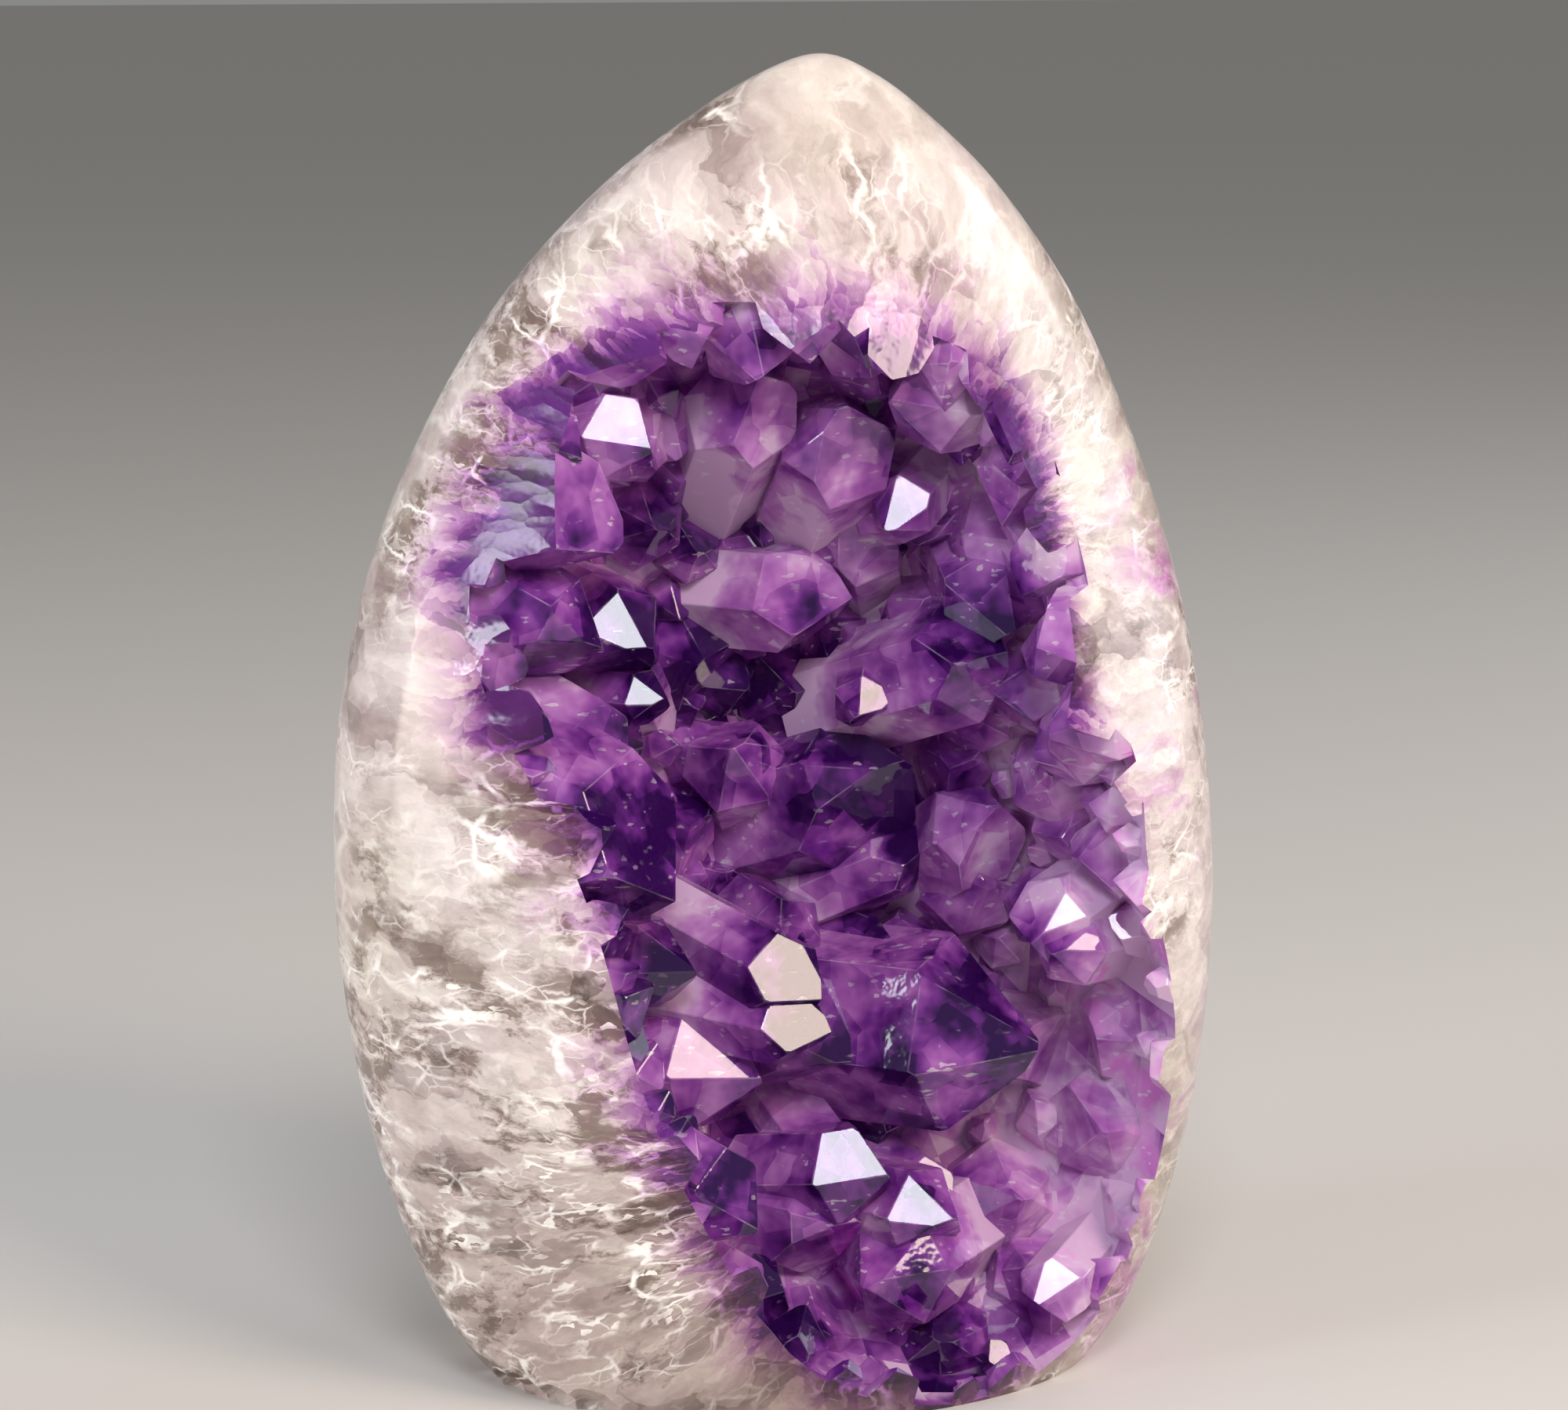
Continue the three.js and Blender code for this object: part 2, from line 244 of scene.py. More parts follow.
# %% The bowl
HOLLOW_X = 2 - MIDDLE_X
HOLLOW_Z = 60
HOLLOW_FLOOR_Y = 6 - MIDDLE_Y
HOLLOW_BRIM_Y = -20 - MIDDLE_Y
HOLLOW_MOUTH_Y = -60
HOLLOW_SIDES = 96
HOLLOW_RINGS = 20
HOLLOW_REACH = [27, 25, 30, 39, 42, 46, 44, 37, 29, 27, 31, 41, 57, 61, 46, 31]
CRUST_THICKNESS = 6
CRUST_GAP = 0.002
LINING_SPARE = 3


def reach_at(angle):
    """How far the hollow reaches from its middle at an angle, from the right side upwards and round."""
    count = len(HOLLOW_REACH)
    place = (angle / (2 * math.pi)) % 1 * count
    first = int(place)
    four = [HOLLOW_REACH[(first + step) % count] for step in (-1, 0, 1, 2)]
    return smooth_between(place - first, *four)


def bowl(grow):
    floor = HOLLOW_FLOOR_Y + grow
    outline = []
    for ring in range(HOLLOW_RINGS + 1):
        angle = math.pi / 2 * ring / HOLLOW_RINGS
        outline.append((math.sin(angle), HOLLOW_BRIM_Y + (floor - HOLLOW_BRIM_Y) * math.cos(angle)))
    outline += [(1, HOLLOW_MOUTH_Y), (0, HOLLOW_MOUTH_Y)]
    shape = spun(outline, (0, 1, 0), HOLLOW_SIDES)
    for corner in shape.verts:
        angle = math.atan2(corner.co.z, corner.co.x)
        reach = math.hypot(corner.co.x, corner.co.z) * (reach_at(angle) + grow)
        corner.co.x = HOLLOW_X + reach * math.cos(angle)
        corner.co.z = HOLLOW_Z + reach * math.sin(angle)
    return object_from(shape, "bowl")


body_hollow = bowl(CRUST_THICKNESS)
room = bowl(CRUST_THICKNESS - CRUST_GAP)
wall = bowl(0)
print("bowl:", len(wall.data.polygons), "faces")

# %% [markdown]
# ## One quartz crystal
# Amethyst grows as six-sided prisms under a six-faced point. The point's faces lean 51.8 degrees from the
# crystal's length, always, but they are seldom the same size: three are larger, and each is set a little
# higher or lower. So a cone operator makes the prism, and six cuts make the point, as nature's angles ask.

# %% Cut a crystal
FACE_TILT = math.radians(51.8)
CRYSTAL_LENGTH = 30
FACE_SPREAD = 0.5
FACE_STEP = 0.5
EDGE_WEAR = 0.08


def tip_face(face):
    """Which way a tip face looks on a crystal that points up."""
    turn = (face + 0.5) * math.pi / 3
    flat = math.sin(FACE_TILT)
    return Vector((flat * math.cos(turn), flat * math.sin(turn), math.cos(FACE_TILT)))


def set_back(number, face):
    """How far a tip face is set back from the tip, as a share of the radius."""
    return FACE_SPREAD * ((FACE_STEP if face % 2 else 0) + spread(number * 6 + face + 1, SPREAD_C))


def crystal(radius, number):
    """A crystal with its tip near the origin and its length down -Z."""
    shape = bmesh.new()
    bmesh.ops.create_cone(
        shape, cap_ends=True, segments=6, radius1=radius, radius2=radius, depth=CRYSTAL_LENGTH
    )
    bmesh.ops.rotate(shape, cent=(0, 0, 0), matrix=Matrix.Rotation(math.pi / 6, 3, "Z"), verts=shape.verts)
    bmesh.ops.translate(shape, vec=(0, 0, radius - CRYSTAL_LENGTH / 2), verts=shape.verts)
    for face in range(6):
        normal = tip_face(face)
        cut = bmesh.ops.bisect_plane(
            shape,
            geom=shape.verts[:] + shape.edges[:] + shape.faces[:],
            plane_co=normal * radius * set_back(number, face) * math.cos(FACE_TILT),
            plane_no=normal,
            clear_outer=True,
        )
        rim = [part for part in cut["geom_cut"] if isinstance(part, bmesh.types.BMEdge)]
        if rim:
            bmesh.ops.contextual_create(shape, geom=rim)
    bmesh.ops.recalc_face_normals(shape, faces=shape.faces)
    wear = {"offset": EDGE_WEAR, "offset_type": "OFFSET", "clamp_overlap": True}
    bmesh.ops.bevel(shape, geom=shape.edges[:], affect="EDGES", segments=1, profile=0.5, material=-1, **wear)
    return shape


def stance_of(direction, turn):
    """How a crystal stands when it points along a direction and is turned about itself."""
    return Vector((0, 0, 1)).rotation_difference(direction).to_matrix() @ Matrix.Rotation(turn, 3, "Z")


def facing(stance, look):
    """A stance changed as little as needed for the nearest tip face to look a given way."""
    wanted = Vector(look).normalized()
    nearest = max((stance @ tip_face(face) for face in range(6)), key=wanted.dot)
    return nearest.rotation_difference(wanted).to_matrix() @ stance


def place_crystal(shape, tip, stance, name):
    bmesh.ops.rotate(shape, cent=(0, 0, 0), matrix=stance, verts=shape.verts)
    bmesh.ops.translate(shape, vec=tip, verts=shape.verts)
    return object_from(shape, name)


# %% [markdown]
# ## The crystals that can be told apart
# The big crystals decide how the hollow looks, so each is listed one by one: the place of its tip, the hour
# of the clock towards which it leans as seen from the front, its lean from straight out, and its radius. The
# crystals near the mouth were cut through when the outside was ground.

# %% Crystals of the roof and the back wall
ROOF = [
    (-5, -17, 97, 6, 40, 5.5),
    (4, -19, 99, 6, 62, 7),
    (5, -17, 97, 6, 45, 5),
    (10, -18, 99, 7, 55, 4),
    (8, -15, 94, 9, 58, 5.5),
    (18, -18, 87, 8, 50, 4),
    (-10, -18, 102, 4, 58, 4.5),
    (-15, -17, 98, 4, 58, 4.5),
    (-22, -16, 90, 4, 55, 3.5),
    (-20, -17, 82, 4, 60, 7),
    (-21, -15, 72, 4, 60, 5.5),
]
BACK_WALL = [
    (-14, -9, 89, 5, 25, 5.5),
    (-10, -4, 86, 6, 10, 4),
    (-5, -12, 95, 12, 35, 5.5),
    (4, -12, 92, 12, 35, 6),
    (7, -12, 95, 6, 20, 4.5),
    (10, -8, 85, 12, 20, 4.4),
    (20, -12, 72, 6, 25, 6.5),
    (21, -14, 80, 9, 35, 4.5),
    (19, -12, 70, 2, 40, 6),
    (5, -5, 74, 3, 45, 5.5),
    (-13, -5, 82, 3, 10, 5),
    (-8, -2, 79, 12, 10, 3.2),
    (-15, -2, 69, 5, 30, 4.5),
    (-7, -1, 68, 3, 10, 6),
    (-15, -3, 69, 11, 45, 3.2),
    (5, -3, 78, 4, 25, 3.2),
    (7, -4, 81, 11, 35, 4.5),
    (9, -1, 65, 6, 25, 4),
    (2, 1, 65, 12, 5, 5),
]
print("roof and back wall:", len(ROOF + BACK_WALL), "crystals")

# %% Crystals of the middle and the foot
HEART = [
    (16, -4, 57, 9, 25, 3.8),
    (11, -5, 57, 2, 42, 8),
    (-5, -3, 60, 11, 35, 5),
    (14, -3, 50, 2, 60, 4),
    (20, -7, 53, 1, 35, 5.5),
    (24, -11, 58, 10, 30, 5),
    (25, -11, 52, 9, 35, 4),
    (26, -16, 50, 9, 55, 4.5),
    (24, -9, 45, 10, 30, 4.5),
    (19, -5, 47, 12, 25, 5),
    (22, -17, 68, 8, 55, 5),
    (23, -17, 62, 9, 55, 4.5),
    (-18, -14, 61, 4, 58, 5),
    (-15, -21, 51, 4, 60, 9.5),
    (-9, -2, 52, 1, 15, 4.5),
    (-12, -14, 42, 3, 45, 4.5),
    (-1, -5, 46, 12, 40, 5.5),
    (9, -4, 41, 1, 35, 5),
    (-6, -6, 39, 2, 30, 5),
    (15, -3, 40, 1, 25, 5),
]
FOOT = [
    (3, -6, 36, 4, 30, 7),
    (5, -10, 31, 4, 38, 7),
    (20, -13, 33, 3, 50, 9.5),
    (-5, -12, 31, 3, 52, 6.5),
    (4, -13, 17, 5, 32, 5.5),
    (4, -14, 16, 3, 42, 5.5),
    (14, -11, 15, 4, 35, 5),
    (9, -6, 23, 6, 10, 4.8),
    (13, -13, 11, 1, 35, 6.5),
    (12, -15, 5, 11, 30, 5.8),
    (1, -15, 7, 12, 25, 5),
    (23, -15, 9, 11, 25, 6),
    (21, -10, 17, 12, 15, 5.5),
    (29, -13, 24, 10, 25, 6),
    (29, -11, 32, 9, 45, 5),
    (24, -7, 32, 12, 20, 5),
    (-8, -22, 20, 4, 60, 5.5),
    (-6, -19, 9, 4, 50, 5.5),
    (-4, -16, 11, 2, 30, 4.2),
    (31, -16, 15, 9, 35, 5.5),
    (-2, -8, 22, 2, 25, 5),
]
print("middle and foot:", len(HEART + FOOT), "crystals")

# %% Crystals with a face that shines
# The last value is where that face looks. The crystal is turned a little for it, so that it mirrors one of
# the softboxes into the camera.
UPWARDS = (0.094, -0.908, 0.408)
LEFTWARDS = (-0.193, -0.893, 0.407)
HIGHER = (-0.211, -0.843, 0.495)
SHINING = [
    (-0.5, -15.5, 39, 4, 45, 4.5, UPWARDS),
    (6.5, -7.5, 63.5, 8, 40, 3, UPWARDS),
    (6, -16.5, 22, 3, 40, 5, HIGHER),
    (20.5, -16.5, 43.5, 9, 40, 4.5, LEFTWARDS),
    (-15.5, -13, 71.5, 4, 50, 5, LEFTWARDS),
    (8.5, -10, 82, 10, 30, 3.5, LEFTWARDS),
    (-15.5, -16, 90.5, 4, 50, 4.5, LEFTWARDS),
    (0.5, -16, 35.5, 3, 45, 4, UPWARDS),
    (12.5, -18, 17, 3, 40, 5, HIGHER),
    (22.5, -17.5, 42.5, 9, 40, 4, UPWARDS),
    (21.5, -18, 8.5, 9, 40, 3.5, HIGHER),
    (-13.5, -12, 66.5, 3, 40, 3, LEFTWARDS),
    (5, -17, 12, 9, 35, 6.5, UPWARDS),
]
print("shining:", len(SHINING), "crystals")

# %% Stand the crystals up
# One crystal of the crust: where its tip is, how it stands, how thick it is, and a number for its own faces
Grown = namedtuple("Grown", "tip stance radius number")
mains = []
for x, y, z, hour, lean_degrees, radius, *look in ROOF + BACK_WALL + HEART + FOOT + SHINING:
    around = hour / 12 * 2 * math.pi
    lean = math.radians(lean_degrees)
    sideways = math.sin(lean)
    direction = Vector((sideways * math.sin(around), -math.cos(lean), sideways * math.cos(around)))
    tip = Vector((x - MIDDLE_X, y - MIDDLE_Y, z))
    number = len(mains)
    stance = stance_of(direction, spread(number + 1, SPREAD_A) * math.pi / 3)
    if look:
        stance = facing(stance, look[0])
    mains.append(Grown(tip, stance, radius, number))
print("crystals set by hand:", len(mains))

# %% [markdown]
# ## The crystals between them
# Smaller crystals cover the rest of the wall. They sit on a golden-angle spiral, as seeds do in a
# sunflower, which spreads them evenly without rows, and each is square to the wall with a small lean of its
# own.

# %% Fill the wall
FILLER_LAYERS = (
    # How many, smallest radius, range of the radius, how far the tip stands out in radii
    (100, 2.6, 2.2, 1.1),
    (170, 1.3, 1.3, 1.5),
)
FILLER_WALL = 1.25
FILLER_CLEAR_OF_MAIN = 0.7
FILLER_LEAN = 0.5
FILLER_LEAST_OUTWARD = 0.2

fillers = []
for layer, (count, least_radius, radius_range, stands_out) in enumerate(FILLER_LAYERS):
    for i in range(count):
        deep = 1 - FILLER_WALL * (i + 0.5) / count
        angle = i * GOLDEN_TURN + layer
        across = math.sqrt(1 - deep * deep) if deep > 0 else 1
        reach = across * reach_at(angle)
        y = HOLLOW_BRIM_Y + (HOLLOW_FLOOR_Y - HOLLOW_BRIM_Y) * deep
        place = Vector((HOLLOW_X + reach * math.cos(angle), y, HOLLOW_Z + reach * math.sin(angle)))
        in_x = -across * math.cos(angle) + FILLER_LEAN * (spread(i, SPREAD_A) - 0.5)
        in_z = -across * math.sin(angle) + FILLER_LEAN * (spread(i, SPREAD_B) - 0.5)
        direction = Vector((in_x, -max(deep, FILLER_LEAST_OUTWARD), in_z)).normalized()
        radius = least_radius + radius_range * spread(i, SPREAD_C)
        tip = place + direction * stands_out * radius
        if any((main.tip - tip).length < FILLER_CLEAR_OF_MAIN * main.radius for main in mains):
            continue
        fillers.append(Grown(tip, stance_of(direction, spread(i, SPREAD_B) * math.pi), radius, i))
print("smaller crystals:", len(fillers))

# %% [markdown]
# ## One crust
# Real crystals of a druse grow from one layer and into one another, so they are joined in one closed solid
# with the layer they stand on. What reaches past the back of that layer or past the ground outside is cut
# off.

# %% Join the crystals and trim them
everything = mains + fillers
grown_objects = bpy.data.collections.new("crystals")
bpy.context.scene.collection.children.link(grown_objects)
for one in everything:
    made = place_crystal(crystal(one.radius, one.number), one.tip, one.stance, "crystal")
    grown_objects.objects.link(made)
    bpy.context.scene.collection.objects.unlink(made)

crust = bowl(CRUST_THICKNESS + LINING_SPARE)
crust.name = "crystal_crust_dressed"
combine(crust, "DIFFERENCE", wall)
join = crust.modifiers.new("join", "BOOLEAN")
join.operation = "UNION"
join.solver = "MANIFOLD"
join.operand_type = "COLLECTION"
join.collection = grown_objects
joined = bpy.data.meshes.new_from_object(crust.evaluated_get(bpy.context.evaluated_depsgraph_get()))
crust.modifiers.clear()
crust.data = joined
combine(crust, "INTERSECT", room)
combine(crust, "INTERSECT", egg_solid)
for made in list(grown_objects.objects):
    throw_away(made)
bpy.data.collections.remove(grown_objects)
print("crust:", len(crust.data.polygons), "faces")


# %% [markdown]
# Where crystals meet over a dip, a small pocket can be sealed inside the crust, and a sliver cut off by the
# grinding can float free. Neither is wanted, so only the largest connected surface is kept.

# %% Keep the largest piece
def keep_largest(piece):
    shape = bmesh.new()
    shape.from_mesh(piece.data)
    bmesh.ops.remove_doubles(shape, verts=shape.verts, dist=1e-7)
    unseen = set(shape.verts)
    islands = []
    while unseen:
        island = []
        edge_of_search = [unseen.pop()]
        while edge_of_search:
            corner = edge_of_search.pop()
            island.append(corner)
            for side in corner.link_edges:
                other = side.other_vert(corner)
                if other in unseen:
                    unseen.remove(other)
                    edge_of_search.append(other)
        islands.append(island)
    islands.sort(key=len)
    for island in islands[:-1]:
        bmesh.ops.delete(shape, geom=island, context="VERTS")
    shape.to_mesh(piece.data)
    shape.free()
    return len(islands) - 1


dropped = keep_largest(crust)
print("pockets and slivers dropped:", dropped, "- crust:", len(crust.data.polygons), "faces")

# %% [markdown]
# ## The body
# The body is the egg with the bowl taken out of it. It stops a hair's breadth behind the crust.

# %% Hollow out the body
egg_surface = BVHTree.FromObject(egg_solid, bpy.context.evaluated_depsgraph_get())
body = egg_solid
body.name = "geode_body_dressed"
combine(body, "DIFFERENCE", body_hollow)
keep_largest(body)
for tool in (body_hollow, room, wall):
    throw_away(tool)
print("body:", len(body.data.polygons), "faces")

# %% [markdown]
# ## What the colour follows
# Two things decide the colour. How far a point lies behind the tip of its own crystal: iron coloured the
# last growth deep violet, and the root stayed pale. And how far a point lies outside the hollow: past the
# roots the stone is colourless, milky quartz. Both are worked out in millimetres and kept on the mesh, so
# that the finish can read them.

# %% Measure the zones
FAR = 1e9


def outside_hollow(points):
    """Millimetres from the wall of the hollow, positive into the stone."""
    side_x = points[:, 0] - HOLLOW_X
    side_z = points[:, 2] - HOLLOW_Z
    reaches = np.array([reach_at(a) for a in np.arctan2(side_z, side_x)])
    across = np.hypot(side_x, side_z) / reaches
    deep = np.maximum(points[:, 1] - HOLLOW_BRIM_Y, 0) / (HOLLOW_FLOOR_Y - HOLLOW_BRIM_Y)
    share = np.hypot(across, deep)
    size = (reaches * across + (HOLLOW_FLOOR_Y - HOLLOW_BRIM_Y) * deep) / np.maximum(across + deep, 1e-6)
    return (share - 1) * size


def outside_crystal(one, points):
    """Millimetres by which points lie outside a crystal: 0 on its surface."""
    local = (points - np.array(one.tip)) @ np.array(one.stance)
    furthest = np.full(len(points), -FAR)
    for face in range(6):
        leaning = tip_face(face)
        side = leaning.xy.normalized().to_3d()
        furthest = np.maximum(furthest, local @ np.array(side) - one.radius * math.cos(math.pi / 6))
        behind = one.radius * set_back(one.number, face) * math.cos(FACE_TILT)
        furthest = np.maximum(furthest, local @ np.array(leaning) - behind)
    return furthest, -local[:, 2]


def add_values(mesh, name, domain, values):
    layer = mesh.attributes.new(name, "FLOAT", domain)
    layer.data.foreach_set("value", np.asarray(values, np.float32))


def corners_of(mesh):
    flat = np.zeros(len(mesh.vertices) * 3)
    mesh.vertices.foreach_get("co", flat)
    return flat.reshape(-1, 3) / MM


# %% Mark the zones on the crust
# A face this near the egg was ground, and an edge face that gets a painted highlight lies at least this far
# from the sharp crystal's faces, both in millimetres. Where there is no crystal, a place counts as this many
# radii behind a tip.
ON_EGG_WITHIN = 0.02
EDGE_FROM = 0.004
BEHIND_ALL = 30.0


def mark_zones(piece):
    mesh = piece.data
    points = corners_of(mesh)
    add_values(mesh, "outside_hollow", "POINT", outside_hollow(points))
    loops = np.zeros(len(mesh.loops), int)
    mesh.loops.foreach_get("vertex_index", loops)
    owner_of_loop = np.zeros(len(mesh.loops), int)
    for face in mesh.polygons:
        owner_of_loop[face.loop_start : face.loop_start + face.loop_total] = face.index
    middles = np.zeros(len(mesh.polygons) * 3)
    mesh.polygons.foreach_get("center", middles)
    middles = middles.reshape(-1, 3) / MM
    nearest = np.full(len(middles), FAR)
    behind = np.full(len(loops), BEHIND_ALL)
    tone = np.zeros(len(middles))
    for count, one in enumerate(everything):
        distance, _ = outside_crystal(one, middles)
        better = np.abs(distance) < nearest
        nearest[better] = np.abs(distance)[better]
        tone[better] = spread(count + 1, SPREAD_B)
        mine = better[owner_of_loop]
        _, along = outside_crystal(one, points[loops[mine]])
        behind[mine] = along / one.radius
    add_values(mesh, "behind_tip", "CORNER", behind)
    add_values(mesh, "tone", "FACE", tone)
    on_egg = np.array([egg_surface.find_nearest(Vector(m) * MM)[3] for m in middles])
    polished = on_egg < ON_EGG_WITHIN * MM
    add_values(mesh, "polished", "FACE", polished)
    # Faces of the bevelled edges, which the amethyst paints with a pale line: a painted highlight
    painted_highlight = (nearest > EDGE_FROM) & (nearest < EDGE_WEAR) & ~polished
    add_values(mesh, "painted_highlight", "FACE", painted_highlight)
    print("faces on worn edges:", int(painted_highlight.sum()))
    return nearest


ON_CRYSTAL_WITHIN = 0.01
on_crystal = mark_zones(crust)
add_values(body.data, "outside_hollow", "POINT", outside_hollow(corners_of(body.data)))
faces_on_crystals = int((on_crystal < ON_CRYSTAL_WITHIN).sum())
print("faces of the crust that lie on a crystal:", faces_on_crystals, "of", len(on_crystal))

# %% [markdown]
# ## Polished and grown faces
# The ground outside is smooth and bends the light evenly, while crystal faces are flat. Both are on the
# same meshes, so faces are shaded smooth where they lie on the egg and edges sharper than a few degrees
# stay sharp.

# %% Shade smooth between gentle edges
SHARP_FROM = math.radians(14)
for piece in (crust, body):
    piece.data.shade_smooth()
    piece.data.set_sharp_from_angle(angle=SHARP_FROM)
    triangles = sum(len(face.vertices) - 2 for face in piece.data.polygons)
    print(piece.name, "has", triangles, "triangles")

# %% [markdown]
# ## Materials
# The stone has two finishes: amethyst on the crystals, and polished quartz wherever it was ground. Colours
# are given as seen on a screen and made linear for the shaders. Quartz bends light with an index of 1.544.

# %% Helpers for materials
def linear(hex_colour):
    """An sRGB hex colour as the linear values that shaders use."""
    parts = [int(hex_colour[i : i + 2], 16) / 255 for i in (1, 3, 5)]
    return [p / 12.92 if p <= 0.04045 else ((p + 0.055) / 1.055) ** 2.4 for p in parts] + [1]


def add_node(tree, kind, inputs=None, **settings):
    """Adds a node with its settings. An input is a value, an output, or a node for its first used output."""
    node = tree.nodes.new("ShaderNode" + kind)
    for name, value in settings.items():
        setattr(node, name, value)
    for name, value in (inputs or {}).items():
        if isinstance(value, bpy.types.Node):
            value = next(output for output in value.outputs if output.enabled)
        if isinstance(value, bpy.types.NodeSocket):
            tree.links.new(value, node.inputs[name])
        else:
            node.inputs[name].default_value = value
    return node


def ramp_stops(node, stops):
    band = node.color_ramp
    while len(band.elements) > 1:
        band.elements.remove(band.elements[-1])
    band.elements[0].position = stops[0][0]
    band.elements[0].color = linear(stops[0][1])
    for place, colour in stops[1:]:
        band.elements.new(place).color = linear(colour)


def new_material(name):
    material = bpy.data.materials.new(name)
    material.use_nodes = True
    material.node_tree.nodes.clear()
    return material, material.node_tree


def dress(piece, material, **shaders):
    """Puts a material on a piece, with the shaders of its Surface and, where it has one, its Volume."""
    add_node(material.node_tree, "OutputMaterial", shaders)
    piece.data.materials.clear()
    piece.data.materials.append(material)
    print(material.name + ":", len(material.node_tree.nodes), "nodes")


# The settings of a node that mixes two colours, and of one that stains the first colour with the second
MIXED = {"data_type": "RGBA"}
STAINED = {"data_type": "RGBA", "blend_type": "MULTIPLY"}
QUARTZ_IOR = 1.544

# %% [markdown]
# ## Which way the stone grew
# The stone is a bundle of crystals that all grew inwards, so on the ground outside they show as long cells
# that point to the hollow. A pattern on plain coordinates would ignore that. So each point is first slid
# back along its column to a tube round the hollow's upright axis, and patterns are drawn there: a cell then
# becomes a column. What is left of the depth is squeezed to a quarter, so that columns still end after a
# while. The cells are also flattened to plates, because this stone is cracked in level layers.

# %% Slide points along their columns
COLUMN_FOOT_Z = 30
COLUMN_HEAD_Z = 80
COLUMN_RADIUS = 35
DEPTH_KEPT = 0.25
PLATE_FLATNESS = 0.5
WOBBLE = 0.003
WOBBLE_SIZE = 8


def per(millimetres):
    """The scale that gives a pattern cells of about this size."""
    return 1 / (millimetres * MM)


def column_place(tree):
    place = add_node(tree, "TexCoord").outputs["Object"]
    split = add_node(tree, "SeparateXYZ", {0: place})
    height = add_node(tree, "Clamp", {0: split.outputs["Z"], 1: COLUMN_FOOT_Z * MM, 2: COLUMN_HEAD_Z * MM})
    axis = add_node(tree, "CombineXYZ", {0: HOLLOW_X * MM, 1: HOLLOW_BRIM_Y * MM, 2: height})
    from_axis = add_node(tree, "VectorMath", {0: place, 1: axis}, operation="SUBTRACT")
    outward = add_node(tree, "VectorMath", {0: from_axis}, operation="NORMALIZE")
    on_tube = add_node(
        tree, "VectorMath", {0: outward, 1: (COLUMN_RADIUS * MM,) * 3, 2: axis}, operation="MULTIPLY_ADD"
    )
    column = add_node(
        tree, "VectorMath", {0: from_axis, 1: (DEPTH_KEPT,) * 3, 2: on_tube}, operation="MULTIPLY_ADD"
    )
    plates = add_node(
        tree, "VectorMath", {0: column, 1: (PLATE_FLATNESS, PLATE_FLATNESS, 1)}, operation="MULTIPLY"
    )
    wobble = add_node(
        tree, "TexNoise", {"Vector": place, "Scale": per(WOBBLE_SIZE), "Detail": 4, "Roughness": 0.6}
    )
    bent = add_node(
        tree,
        "VectorMath",
        {0: wobble.outputs["Color"], 1: (WOBBLE,) * 3, 2: plates},
        operation="MULTIPLY_ADD",
    )
    return place, split, bent.outputs[0]


# %% [markdown]
# ## Milk and windows
# Each column caught its own share of tiny bubbles, so some cells are milky and some are nearly clear and
# look brownish grey, because one sees deep into them. A soft noise clouds the milk inside each cell. Here
# and there the stone has a faint greenish yellow tint.

# %% Milky cells
# Sizes are in millimetres, as they measure in the photo. Places in a Map Range are in metres, as Object
# coordinates are.
COLUMN_WIDTH = 7.7
MILK_CLOUD = 13
SHARD_WIDTH = 2.6
TINT_SPOT = 36
FEATHER_WIDTH = 1.1
CHIP_WIDTH = 1.5
# How much milk each pattern adds, where 0 is clear and 1 is white
SHARD_MILK = 0.17
COLUMN_MILK = 0.25
TOP_MILK = 0.13


